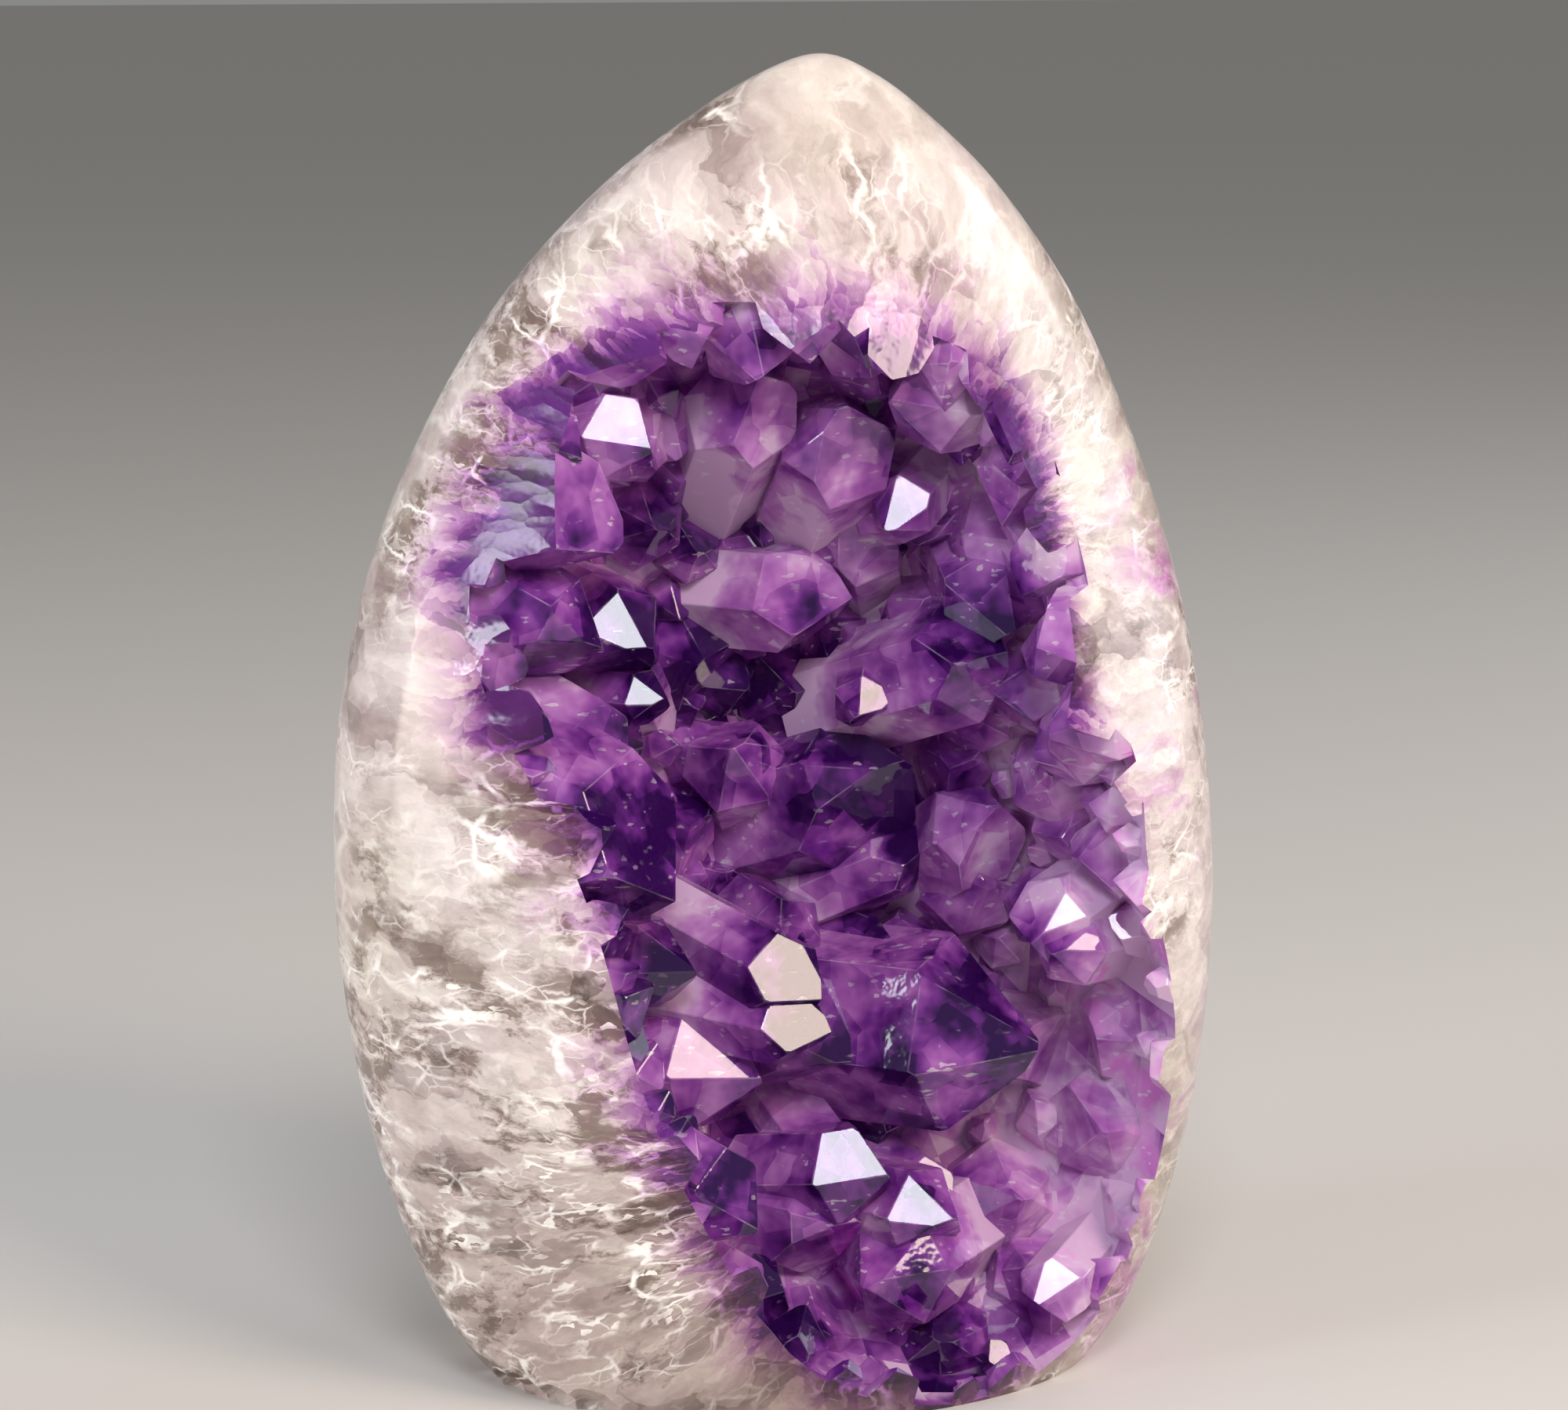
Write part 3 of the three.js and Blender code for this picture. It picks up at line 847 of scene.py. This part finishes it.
def milky_stone(tree, place, split, bent):
    cells = add_node(tree, "TexVoronoi", {"Vector": bent, "Scale": per(COLUMN_WIDTH)})
    cell = add_node(tree, "SeparateColor", {0: cells.outputs["Color"]})
    milk = add_node(
        tree,
        "TexNoise",
        {"Vector": bent, "Scale": per(MILK_CLOUD), "Detail": 7, "Roughness": 0.62, "Distortion": 0.4},
    )
    shards = add_node(tree, "TexVoronoi", {"Vector": bent, "Scale": per(SHARD_WIDTH)})
    shard = add_node(tree, "SeparateColor", {0: shards.outputs["Color"]})
    top = add_node(tree, "MapRange", {0: split.outputs["Z"], 1: 0.07, 2: 0.105, 3: 0.0, 4: TOP_MILK})
    depth = milk
    for pattern, share in ((shard, SHARD_MILK), (cell, COLUMN_MILK), (top, 1)):
        depth = add_node(tree, "Math", {0: pattern, 1: share, 2: depth}, operation="MULTIPLY_ADD")
    stone = add_node(tree, "ValToRGB", {"Fac": depth})
    ramp_stops(stone, [(0.45, "#8c7a72"), (0.57, "#b8a6a4"), (0.7, "#d6c8c6"), (0.88, "#eee6e0")])
    tint = add_node(tree, "TexNoise", {"Vector": place, "Scale": per(TINT_SPOT), "Detail": 2})
    tinted = add_node(tree, "MapRange", {0: tint, 1: 0.5, 2: 0.66, 3: 0.0, 4: 0.7})
    greenish = add_node(tree, "Mix", {"Factor": tinted, "A": stone, "B": linear("#dcdcc4")}, **STAINED)
    feathers = add_node(
        tree, "TexNoise", {"Vector": bent, "Scale": per(FEATHER_WIDTH), "Detail": 4, "Roughness": 0.7}
    )
    feathered = add_node(tree, "MapRange", {0: feathers, 1: 0.34, 2: 0.66, 3: 0.74, 4: 0.97})
    chips = add_node(tree, "TexVoronoi", {"Vector": bent, "Scale": per(CHIP_WIDTH)})
    chip = add_node(tree, "SeparateColor", {0: chips.outputs["Color"]})
    chipped = add_node(tree, "MapRange", {0: chip, 1: 0.0, 2: 1.0, 3: 0.9, 4: 1.08})
    crisp = add_node(tree, "Math", {0: feathered, 1: chipped}, operation="MULTIPLY")
    greenish = add_node(tree, "VectorMath", {0: greenish, "Scale": crisp}, operation="SCALE")
    greyer = add_node(tree, "MapRange", {0: split.outputs["Z"], 1: 0.045, 2: 0.01, 3: 0.0, 4: 0.8})
    footed = add_node(tree, "Mix", {"Factor": greyer, "A": greenish, "B": linear("#cfc6bc")}, **STAINED)
    return cell, shard, milk, depth, footed


# %% [markdown]
# ## Cells of the rind
# On the sides and the back the grinding cut straight across the columns, so there they show as a mosaic:
# clear, brownish windows a few millimetres wide, with cream walls of finer quartz between them.

# %% Rind
WINDOW_WIDTH = 3.6


def rind(tree, split, bent, milk, stone):
    windows = add_node(tree, "TexVoronoi", {"Vector": bent, "Scale": per(WINDOW_WIDTH)})
    window = add_node(tree, "SeparateColor", {0: windows.outputs["Color"]})
    glass = add_node(tree, "ValToRGB", {"Fac": window})
    ramp_stops(glass, [(0, "#a08d86"), (0.45, "#c0aca8"), (1, "#e2d6d2")])
    walls = add_node(
        tree, "TexVoronoi", {"Vector": bent, "Scale": per(WINDOW_WIDTH)}, feature="DISTANCE_TO_EDGE"
    )
    wall = add_node(tree, "MapRange", {0: walls, 1: 0.02, 2: 0.16, 3: 1.0, 4: 0.0})
    thick = add_node(tree, "MapRange", {0: milk, 1: 0.42, 2: 0.62, 3: 0.15, 4: 1.0})
    uneven_wall = add_node(tree, "Math", {0: wall, 1: thick}, operation="MULTIPLY")
    mosaic = add_node(tree, "Mix", {"Factor": uneven_wall, "A": glass, "B": linear("#ece3da")}, **MIXED)
    sides = add_node(tree, "MapRange", {0: split.outputs["Y"], 1: -0.028, 2: -0.004, 3: 0.0, 4: 0.6})
    return add_node(tree, "Mix", {"Factor": sides, "A": stone, "B": mosaic}, **MIXED)


# %% [markdown]
# ## Cracks
# Low on the left the stone is shattered: thin cracks show as bright lines, splinters between them as bright
# flecks, partly the white of the fractures and partly a painted reflection of the light they mirror, and
# clear pockets look dark, because one sees into them. Crack lines are where two cells of a pattern meet, and
# hair cracks come from a finer one. Splinters are a few cells of the finest, picked by their random colour.

# %% Cracks and splinters
# Sizes in millimetres. Real hair cracks are finer: these are as wide as one pixel or two of the render.
BROKEN_PATCH = 16
CRACK_SPACING = 4.8
HAIR_SPACING = 1.9
DASH_LENGTH = 3
POCKET_SIZE = 5.5
SPLINTER_SIZE = 0.6


def shattered_stone(tree, place, split, bent, stone):
    broken = add_node(tree, "TexNoise", {"Vector": place, "Scale": per(BROKEN_PATCH), "Detail": 3})
    low = add_node(tree, "MapRange", {0: split.outputs["Z"], 1: 0.07, 2: 0.03, 3: 0.0, 4: 0.15})
    leftward = add_node(tree, "MapRange", {0: split.outputs["X"], 1: 0.0, 2: -0.03})
    shattered = add_node(tree, "Math", {0: low, 1: leftward, 2: broken}, operation="MULTIPLY_ADD")
    where = add_node(tree, "MapRange", {0: shattered, 1: 0.4, 2: 0.6, 3: 0.2, 4: 1.0})
    cracks = add_node(
        tree, "TexVoronoi", {"Vector": bent, "Scale": per(CRACK_SPACING)}, feature="DISTANCE_TO_EDGE"
    )
    wide_line = add_node(tree, "MapRange", {0: cracks, 1: 0.01, 2: 0.045, 3: 1.0, 4: 0.0})
    hairs = add_node(
        tree, "TexVoronoi", {"Vector": bent, "Scale": per(HAIR_SPACING)}, feature="DISTANCE_TO_EDGE"
    )
    hair = add_node(tree, "MapRange", {0: hairs, 1: 0.0, 2: 0.05, 3: 0.7, 4: 0.0})
    line = add_node(tree, "Math", {0: wide_line, 1: hair}, operation="MAXIMUM")
    patches = add_node(tree, "TexNoise", {"Vector": bent, "Scale": per(DASH_LENGTH), "Detail": 3})
    patchy = add_node(tree, "MapRange", {0: patches, 1: 0.45, 2: 0.6})
    dashes = add_node(tree, "Math", {0: line, 1: patchy}, operation="MULTIPLY")
    veins = add_node(tree, "Math", {0: dashes, 1: where}, operation="MULTIPLY")
    hollows = add_node(
        tree, "TexNoise", {"Vector": bent, "Scale": per(POCKET_SIZE), "Detail": 6, "Roughness": 0.7}
    )
    pockets = add_node(tree, "MapRange", {0: hollows, 1: 0.5, 2: 0.57})
    pocketed = add_node(tree, "MapRange", {0: shattered, 1: 0.45, 2: 0.6})
    pocket = add_node(tree, "Math", {0: pockets, 1: pocketed}, operation="MULTIPLY")
    darker = add_node(tree, "Mix", {"Factor": pocket, "A": stone, "B": linear("#a99e96")}, **STAINED)
    # Crack lines: partly the fractures' own white, partly a painted reflection
    veined = add_node(tree, "Mix", {"Factor": veins, "A": darker, "B": linear("#fffaf4")}, **MIXED)
    splinters = add_node(tree, "TexVoronoi", {"Vector": bent, "Scale": per(SPLINTER_SIZE)})
    splinter = add_node(tree, "SeparateColor", {0: splinters.outputs["Color"]})
    chosen = add_node(tree, "MapRange", {0: splinter.outputs[2], 1: 0.76, 2: 0.82})
    crushed = add_node(tree, "MapRange", {0: shattered, 1: 0.54, 2: 0.7, 3: 0.0, 4: 0.9})
    clusters = add_node(tree, "Math", {0: patchy, 1: crushed}, operation="MULTIPLY")
    flashes = add_node(tree, "Math", {0: chosen, 1: clusters}, operation="MULTIPLY")
    # Splinter flecks: partly the splinters' own white, partly a painted glint
    flecks_and_glints = add_node(tree, "Mix", {"Factor": flashes, "A": veined, "B": linear("#fdf8f0")}, **MIXED)
    return broken, flecks_and_glints


# %% [markdown]
# ## The violet fringe
# Only the last growth caught iron, so the ground outside is violet in a narrow fringe round the hollow. The
# fringe follows each column to its own depth, which makes its outer edge jagged. It is multiplied onto the
# stone, as a stain would be. On the left a large pale crystal was cut through, and there the fringe is
# narrow. On the right a few places are painted orchid pink: a painted glow, for light passing through the
# stone.

# %% Violet fringe
FLAKE_SIZE = 0.9
TONGUE_AT = (-28, -24, 49)
# How far each pattern or place moves the edge of the fringe, in millimetres: outwards where negative
COLUMN_SHIFT = -3.2
SHARD_SHIFT = -2.2
FLAKE_SHIFT = -2.2
MILK_SHIFT = -11.0
RIGHT_RIM_SHIFT = 8.0
TONGUE_SHIFT = 3.6


def violet_fringe(tree, place, split, bent, cell, shard, milk, stone):
    outside = add_node(tree, "Attribute", attribute_name="outside_hollow")
    flakes = add_node(tree, "TexVoronoi", {"Vector": bent, "Scale": per(FLAKE_SIZE)})
    flake = add_node(tree, "SeparateColor", {0: flakes.outputs["Color"]})
    right_rim = add_node(
        tree, "MapRange", {0: split.outputs["X"], 1: 0.016, 2: 0.028, 3: 0.0, 4: RIGHT_RIM_SHIFT}
    )
    from_tongue = add_node(
        tree, "VectorMath", {0: place, 1: [side * MM for side in TONGUE_AT]}, operation="DISTANCE"
    )
    tongue = add_node(tree, "MapRange", {0: from_tongue, 1: 0.006, 2: 0.019, 3: TONGUE_SHIFT, 4: 0.0})
    shifts = [(cell.outputs[1], COLUMN_SHIFT), (shard.outputs[1], SHARD_SHIFT), (flake, FLAKE_SHIFT)]
    edge = outside.outputs["Fac"]
    for pattern, shift in shifts + [(milk, MILK_SHIFT), (right_rim, 1), (tongue, 1)]:
        edge = add_node(tree, "Math", {0: pattern, 1: shift, 2: edge}, operation="MULTIPLY_ADD")
    fringe = add_node(tree, "MapRange", {0: edge, 1: -11.2, 2: -2.2, 3: 1.0, 4: 0.0})
    violet = add_node(tree, "ValToRGB", {"Fac": fringe})
    shades = [(0, "#ffffff"), (0.35, "#f0def2"), (0.6, "#cba0d6"), (0.8, "#9a58b0"), (1, "#642888")]
    ramp_stops(violet, shades)
    # Painted glow: orchid pink in milky spots at the right rim, for light that passes through the thin stone
    right = add_node(tree, "MapRange", {0: split.outputs["X"], 1: 0.024, 2: 0.031})
    glow = add_node(tree, "MapRange", {0: milk, 1: 0.52, 2: 0.62, 3: 0.0, 4: 0.9})
    painted_glow = add_node(tree, "Math", {0: right, 1: glow}, operation="MULTIPLY")
    painted_orchid_glow = add_node(tree, "Mix", {"Factor": painted_glow, "A": violet, "B": linear("#dd8fe6")}, **MIXED)
    return add_node(tree, "Mix", {"Factor": 1.0, "A": stone, "B": painted_orchid_glow}, **STAINED)


# %% [markdown]
# ## The polished surface
# Ground and polished by hand, the quartz has a wet gloss that is a little duller where it is broken.
# Grinding leaves faint waves, and near the hollow the stone came away in shallow scales, which breaks up
# reflections. Quartz is slightly see-through, most of all where it holds little milk. At the seam with the
# crust that fades out, so the two meshes look like one stone.

# %% Polished stone
WAVE_LENGTH = 7
POLISH_RELIEF = 0.00004
SCALE_RELIEF = 0.00016
SCALE_SIZE = 2.4


def polished_stone(tree):
    """The shader of every ground and polished face, on the body and on the rim of the crust."""
    place, split, bent = column_place(tree)
    cell, shard, milk, depth, stone = milky_stone(tree, place, split, bent)
    stone = rind(tree, split, bent, milk, stone)
    broken, flecks_and_glints = shattered_stone(tree, place, split, bent, stone)
    stained = violet_fringe(tree, place, split, bent, cell, shard, milk, flecks_and_glints)
    outside = add_node(tree, "Attribute", attribute_name="outside_hollow")
    off_seam = add_node(tree, "Math", {0: outside.outputs["Fac"], 1: CRUST_THICKNESS}, operation="SUBTRACT")
    from_seam = add_node(tree, "Math", {0: off_seam}, operation="ABSOLUTE")
    whole = add_node(tree, "MapRange", {0: from_seam, 1: 0.3, 2: 2.0})
    see_in = add_node(tree, "MapRange", {0: depth, 1: 0.42, 2: 0.66, 3: 0.34, 4: 0.0})
    clear = add_node(tree, "Math", {0: see_in, 1: whole}, operation="MULTIPLY")
    gloss = add_node(tree, "MapRange", {0: broken, 1: 0.35, 2: 0.65, 3: 0.1, 4: 0.3})
    waves = add_node(tree, "TexNoise", {"Vector": place, "Scale": per(WAVE_LENGTH), "Detail": 2})
    wave_height = add_node(tree, "Math", {0: waves, 1: POLISH_RELIEF}, operation="MULTIPLY")
    scales = add_node(tree, "TexVoronoi", {"Vector": bent, "Scale": per(SCALE_SIZE)})
    scaly = add_node(
        tree,
        "MapRange",
        {0: outside.outputs["Fac"], 1: 9.0, 2: 0.0, 3: 0.15 * SCALE_RELIEF, 4: SCALE_RELIEF},
    )
    height = add_node(tree, "Math", {0: scales, 1: scaly, 2: wave_height}, operation="MULTIPLY_ADD")
    waved = add_node(tree, "Bump", {"Height": height, "Distance": 1.0})
    return add_node(
        tree,
        "BsdfPrincipled",
        {
            "Base Color": stained,
            "Roughness": gloss,
            "IOR": QUARTZ_IOR,
            "Transmission Weight": clear,
            "Normal": waved,
        },
    )


# %% [markdown]
# ## Finish of the body
# The body is milky quartz that was sawn, ground to the egg and polished with finer and finer grit. That
# gives it a wet gloss over a soft, cloudy inside. The whole body has this one finish.

# %% Polished quartz
quartz, tree = new_material("polished quartz")
dress(body, quartz, Surface=polished_stone(tree))

# %% [markdown]
# ## Violet zones
# Amethyst is clear quartz that a trace of iron coloured violet. Nobody worked its faces: they grew flat and
# as smooth as glass, so they mirror the lights. The violet is deepest just behind the tips and pales
# towards the roots. Clouds, cells inside the crystals and a tone for each crystal vary it. To the right and
# under the roof they are painted paler: painted light, for the light that the thin stone lets through there.

# %% Colour behind the tips
VIOLET_CLOUD = 6.5
INNER_CELL = 3.2
# The zones run from 0, deep violet, to 1, pale. How much each pattern or place adds to them:
ZONE_START = -1.22
CLOUD_SHARE = 1.9
CELL_SHARE = 0.26
TONE_SHARE = 0.42
RIGHT_PAINTED_LIGHT = 0.75
ROOF_PAINTED_LIGHT = 0.27
BEHIND_SHARE = 0.33
amethyst, tree = new_material("amethyst")
behind = add_node(tree, "Attribute", attribute_name="behind_tip")
tone = add_node(tree, "Attribute", attribute_name="tone")
place = add_node(tree, "TexCoord").outputs["Object"]
split = add_node(tree, "SeparateXYZ", {0: place})
cloud = add_node(
    tree, "TexNoise", {"Vector": place, "Scale": per(VIOLET_CLOUD), "Detail": 3, "Roughness": 0.6}
)
inner = add_node(tree, "TexVoronoi", {"Vector": place, "Scale": per(INNER_CELL)})
inner_face = add_node(tree, "SeparateColor", {0: inner.outputs["Color"]})
# Painted light: the crystals are made paler to the right and under the roof, for light that the thin stone
# lets through
right = add_node(tree, "MapRange", {0: split.outputs["X"], 1: 0.015, 2: 0.029, 3: 0.0, 4: RIGHT_PAINTED_LIGHT})
roof_painted_light = add_node(tree, "MapRange", {0: split.outputs["Z"], 1: 0.066, 2: 0.1, 3: 0.0, 4: ROOF_PAINTED_LIGHT})
zone = ZONE_START
for pattern, share in (
    (cloud, CLOUD_SHARE),
    (inner_face, CELL_SHARE),
    (tone.outputs["Fac"], TONE_SHARE),
    (right, 1),
    (roof_painted_light, 1),
    (behind.outputs["Fac"], BEHIND_SHARE),
):
    zone = add_node(tree, "Math", {0: pattern, 1: share, 2: zone}, operation="MULTIPLY_ADD")
colour = add_node(tree, "ValToRGB", {"Fac": zone})
violets = [(0, "#3f1069"), (0.22, "#8d3cb0"), (0.48, "#be6ccf"), (0.75, "#d592df"), (1, "#ecc8ee")]
ramp_stops(colour, violets)
print("amethyst, colour:", len(tree.nodes), "nodes")

# %% [markdown]
# ## Painted edge highlights and a painted pink glow
# Where two faces meet, a pale line that comes and goes is painted along the edge: a painted highlight. At
# the right rim a few crystals are painted orchid pink: a painted glow, for light from outside passing
# through them.

# %% Edges and glow
HIGHLIGHT_BREAK_LENGTH = 2.5
# Painted highlight: a pale line along the bevelled edges, broken up by a noise so that it comes and goes
painted_highlight = add_node(tree, "Attribute", attribute_name="painted_highlight")
highlight_breaks = add_node(tree, "TexNoise", {"Vector": place, "Scale": per(HIGHLIGHT_BREAK_LENGTH), "Detail": 2})
highlight_broken = add_node(tree, "MapRange", {0: highlight_breaks, 1: 0.45, 2: 0.7, 3: 0.0, 4: 0.6})
painted_edge_highlight = add_node(tree, "Math", {0: painted_highlight.outputs["Fac"], 1: highlight_broken}, operation="MULTIPLY")
edged = add_node(tree, "Mix", {"Factor": painted_edge_highlight, "A": colour, "B": linear("#e6ccf0")}, **MIXED)
# Painted glow: orchid pink in clouds on the crystals at the right rim, for light from outside passing
# through them
pinkish = add_node(tree, "MapRange", {0: cloud, 1: 0.52, 2: 0.64, 3: 0.0, 4: 0.8})
glow_at_right = add_node(tree, "MapRange", {0: split.outputs["X"], 1: 0.02, 2: 0.027})
painted_orchid_glow = add_node(tree, "Math", {0: pinkish, 1: glow_at_right}, operation="MULTIPLY")
painted_glow = add_node(tree, "Mix", {"Factor": painted_orchid_glow, "A": edged, "B": linear("#f08aec")}, **MIXED)
print("amethyst, edges and glow:", len(tree.nodes), "nodes")

# %% [markdown]
# ## Flaws inside, with painted glints
# Small healed cracks inside the crystals mirror the light. They are painted as pale slivers, partly the
# flaws' own colour and partly a painted glint: a few cells of a fine pattern, stretched from side to side.

# %% Slivers
SLIVER_SIZE = 0.4
stretched = add_node(tree, "VectorMath", {0: place, 1: (0.45, 1, 1.3)}, operation="MULTIPLY")
flaws = add_node(tree, "TexVoronoi", {"Vector": stretched, "Scale": per(SLIVER_SIZE)}, distance="MANHATTAN")
flaw = add_node(tree, "SeparateColor", {0: flaws.outputs["Color"]})
rare = add_node(tree, "MapRange", {0: flaw.outputs[1], 1: 0.965, 2: 0.97})
flawed_here = add_node(tree, "MapRange", {0: cloud, 1: 0.42, 2: 0.6, 3: 0.0, 4: 0.8})
# Painted glint: pale slivers on real flaws, partly their own colour and partly a painted glint
sliver_glints = add_node(tree, "Math", {0: rare, 1: flawed_here}, operation="MULTIPLY")
flaws_and_glints = add_node(tree, "Mix", {"Factor": sliver_glints, "A": painted_glow, "B": linear("#f4e6f8")}, **MIXED)
print("amethyst, flaws:", len(tree.nodes), "nodes")

# %% [markdown]
# ## Crystal faces
# The faces are nearly mirrors, with growth steps a hundredth of a millimetre high. The deep violet tips are
# clearer than the cloudy roots, and light loses its green on the way through, which is plain absorption.
# Where the crust was ground off with the outside, it has the finish of the polished stone instead: each
# face of the mesh knows which of the two it is.

# %% Amethyst
GROWTH_STEP = 1.6
GROWTH_RELIEF = 0.00001
FACE_ROUGHNESS = 0.03
ABSORPTION = 80
clear = add_node(tree, "MapRange", {0: zone, 1: 0.0, 2: 1.0, 3: 0.68, 4: 0.32})
growth = add_node(tree, "TexNoise", {"Vector": place, "Scale": per(GROWTH_STEP), "Detail": 2})
height = add_node(tree, "Math", {0: growth, 1: GROWTH_RELIEF}, operation="MULTIPLY")
stepped = add_node(tree, "Bump", {"Height": height, "Distance": 1.0})
crystal_faces = add_node(
    tree,
    "BsdfPrincipled",
    {
        "Base Color": flaws_and_glints,
        "Roughness": FACE_ROUGHNESS,
        "IOR": QUARTZ_IOR,
        "Transmission Weight": clear,
        "Normal": stepped,
    },
)
polished = add_node(tree, "Attribute", attribute_name="polished")
ground = polished_stone(tree)
surface = add_node(tree, "MixShader", {0: polished.outputs["Fac"], 1: crystal_faces, 2: ground})
inside = add_node(tree, "VolumeAbsorption", {"Color": linear("#dc70dc"), "Density": ABSORPTION})
dress(crust, amethyst, Surface=surface, Volume=inside)

# %% [markdown]
# ## Floor
# The geode stands on a plain pale floor of matt board, large enough to fill the picture behind it. Nothing
# of the photo's room is built.

# %% Floor
FLOOR_HALF_SIDE = 6
floor = bpy.data.objects.new("floor", bpy.data.meshes.new("floor"))
shape = bmesh.new()
bmesh.ops.create_grid(shape, x_segments=1, y_segments=1, size=FLOOR_HALF_SIDE)
shape.to_mesh(floor.data)
shape.free()
bpy.context.scene.collection.objects.link(floor)
board, tree = new_material("pale matt board")
matt = add_node(tree, "BsdfPrincipled", {"Base Color": linear("#cfccc8"), "Roughness": 0.6})
dress(floor, board, Surface=matt)
print("floor:", 2 * FLOOR_HALF_SIDE, "m wide")

# %% [markdown]
# ## Light
# The photo was lit by windows and pale walls, and its crystal faces mirror them: bluish white from the left
# and above, cream from the right. Five softboxes stand in their places. Two of them hang where the faces
# that were turned for it mirror them into the camera. A dim, even sky fills the shadows.

# %% Lights
LIGHT_DISTANCE = 0.8
SKY_STRENGTH = 0.35
# Name, azimuth from the front, elevation, width and height in metres, power in watts, colour
SOFTBOXES = [
    ("left window", -76, 20, (0.3, 0.24), 2.5, "#f2f6ff"),
    ("left card", -95, 5, (0.4, 0.3), 1.6, "#fff1e4"),
    ("front window", -10, 40, (0.23, 0.25), 3.0, "#f6f8ff"),
    ("cream card", 30, 35, (0.3, 0.3), 4.2, "#ffe9d6"),
    ("right window", 95, 15, (0.6, 0.7), 3.4, "#f4f7ff"),
]


def direction_at(azimuth, elevation):
    """The way from the geode to an azimuth, 0 at the front and positive to the right, and an elevation."""
    across, up = math.radians(azimuth), math.radians(elevation)
    return Vector((math.sin(across) * math.cos(up), -math.cos(across) * math.cos(up), math.sin(up)))


for name, azimuth, elevation, size, power, colour in SOFTBOXES:
    outward = direction_at(azimuth, elevation)
    lamp = bpy.data.lights.new(name, "AREA")
    lamp.shape = "RECTANGLE"
    lamp.size, lamp.size_y = size
    lamp.energy = power
    lamp.color = linear(colour)[:3]
    softbox = bpy.data.objects.new(name, lamp)
    softbox.location = outward * LIGHT_DISTANCE + Vector((0, 0, HOLLOW_Z * MM))
    softbox.rotation_euler = (-outward).to_track_quat("-Z", "Y").to_euler()
    bpy.context.scene.collection.objects.link(softbox)
world = bpy.data.worlds.new("studio")
world.use_nodes = True
world.node_tree.nodes["Background"].inputs["Color"].default_value = linear("#dcdcda")
world.node_tree.nodes["Background"].inputs["Strength"].default_value = SKY_STRENGTH
bpy.context.scene.world = world
bpy.context.scene.view_settings.view_transform = "Standard"
print("softboxes:", len(SOFTBOXES))

# %% [markdown]
# ## Camera
# The photo was taken from a little to the left of the front and a little above, from less than half a
# metre. The lens is chosen so that the geode is as large in the picture as in the photo, where one pixel is
# 0.0742 mm at the middle of the stone.

# %% Camera
CAMERA_AZIMUTH = -14
CAMERA_ELEVATION = 10
CAMERA_DISTANCE = 0.430
MM_PER_PIXEL = 0.0742
PICTURE_WIDTH = 2000
SENSOR_WIDTH = 36
look_at = Vector((1.0 - MIDDLE_X, -MIDDLE_Y, 63.5)) * MM
lens = bpy.data.cameras.new("camera")
lens.sensor_width = SENSOR_WIDTH
lens.lens = SENSOR_WIDTH * CAMERA_DISTANCE / (MM_PER_PIXEL * MM * PICTURE_WIDTH)
camera = bpy.data.objects.new("camera", lens)
back = direction_at(CAMERA_AZIMUTH, CAMERA_ELEVATION)
camera.location = look_at + back * CAMERA_DISTANCE
camera.rotation_euler = (-back).to_track_quat("-Z", "Y").to_euler()
bpy.context.scene.collection.objects.link(camera)
bpy.context.scene.camera = camera
print("lens:", round(lens.lens, 1), "mm")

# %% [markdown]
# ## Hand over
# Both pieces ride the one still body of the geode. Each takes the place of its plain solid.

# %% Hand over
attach(crust, "root")
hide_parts("crystal_crust")
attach(body, "root")
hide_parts("geode_body")
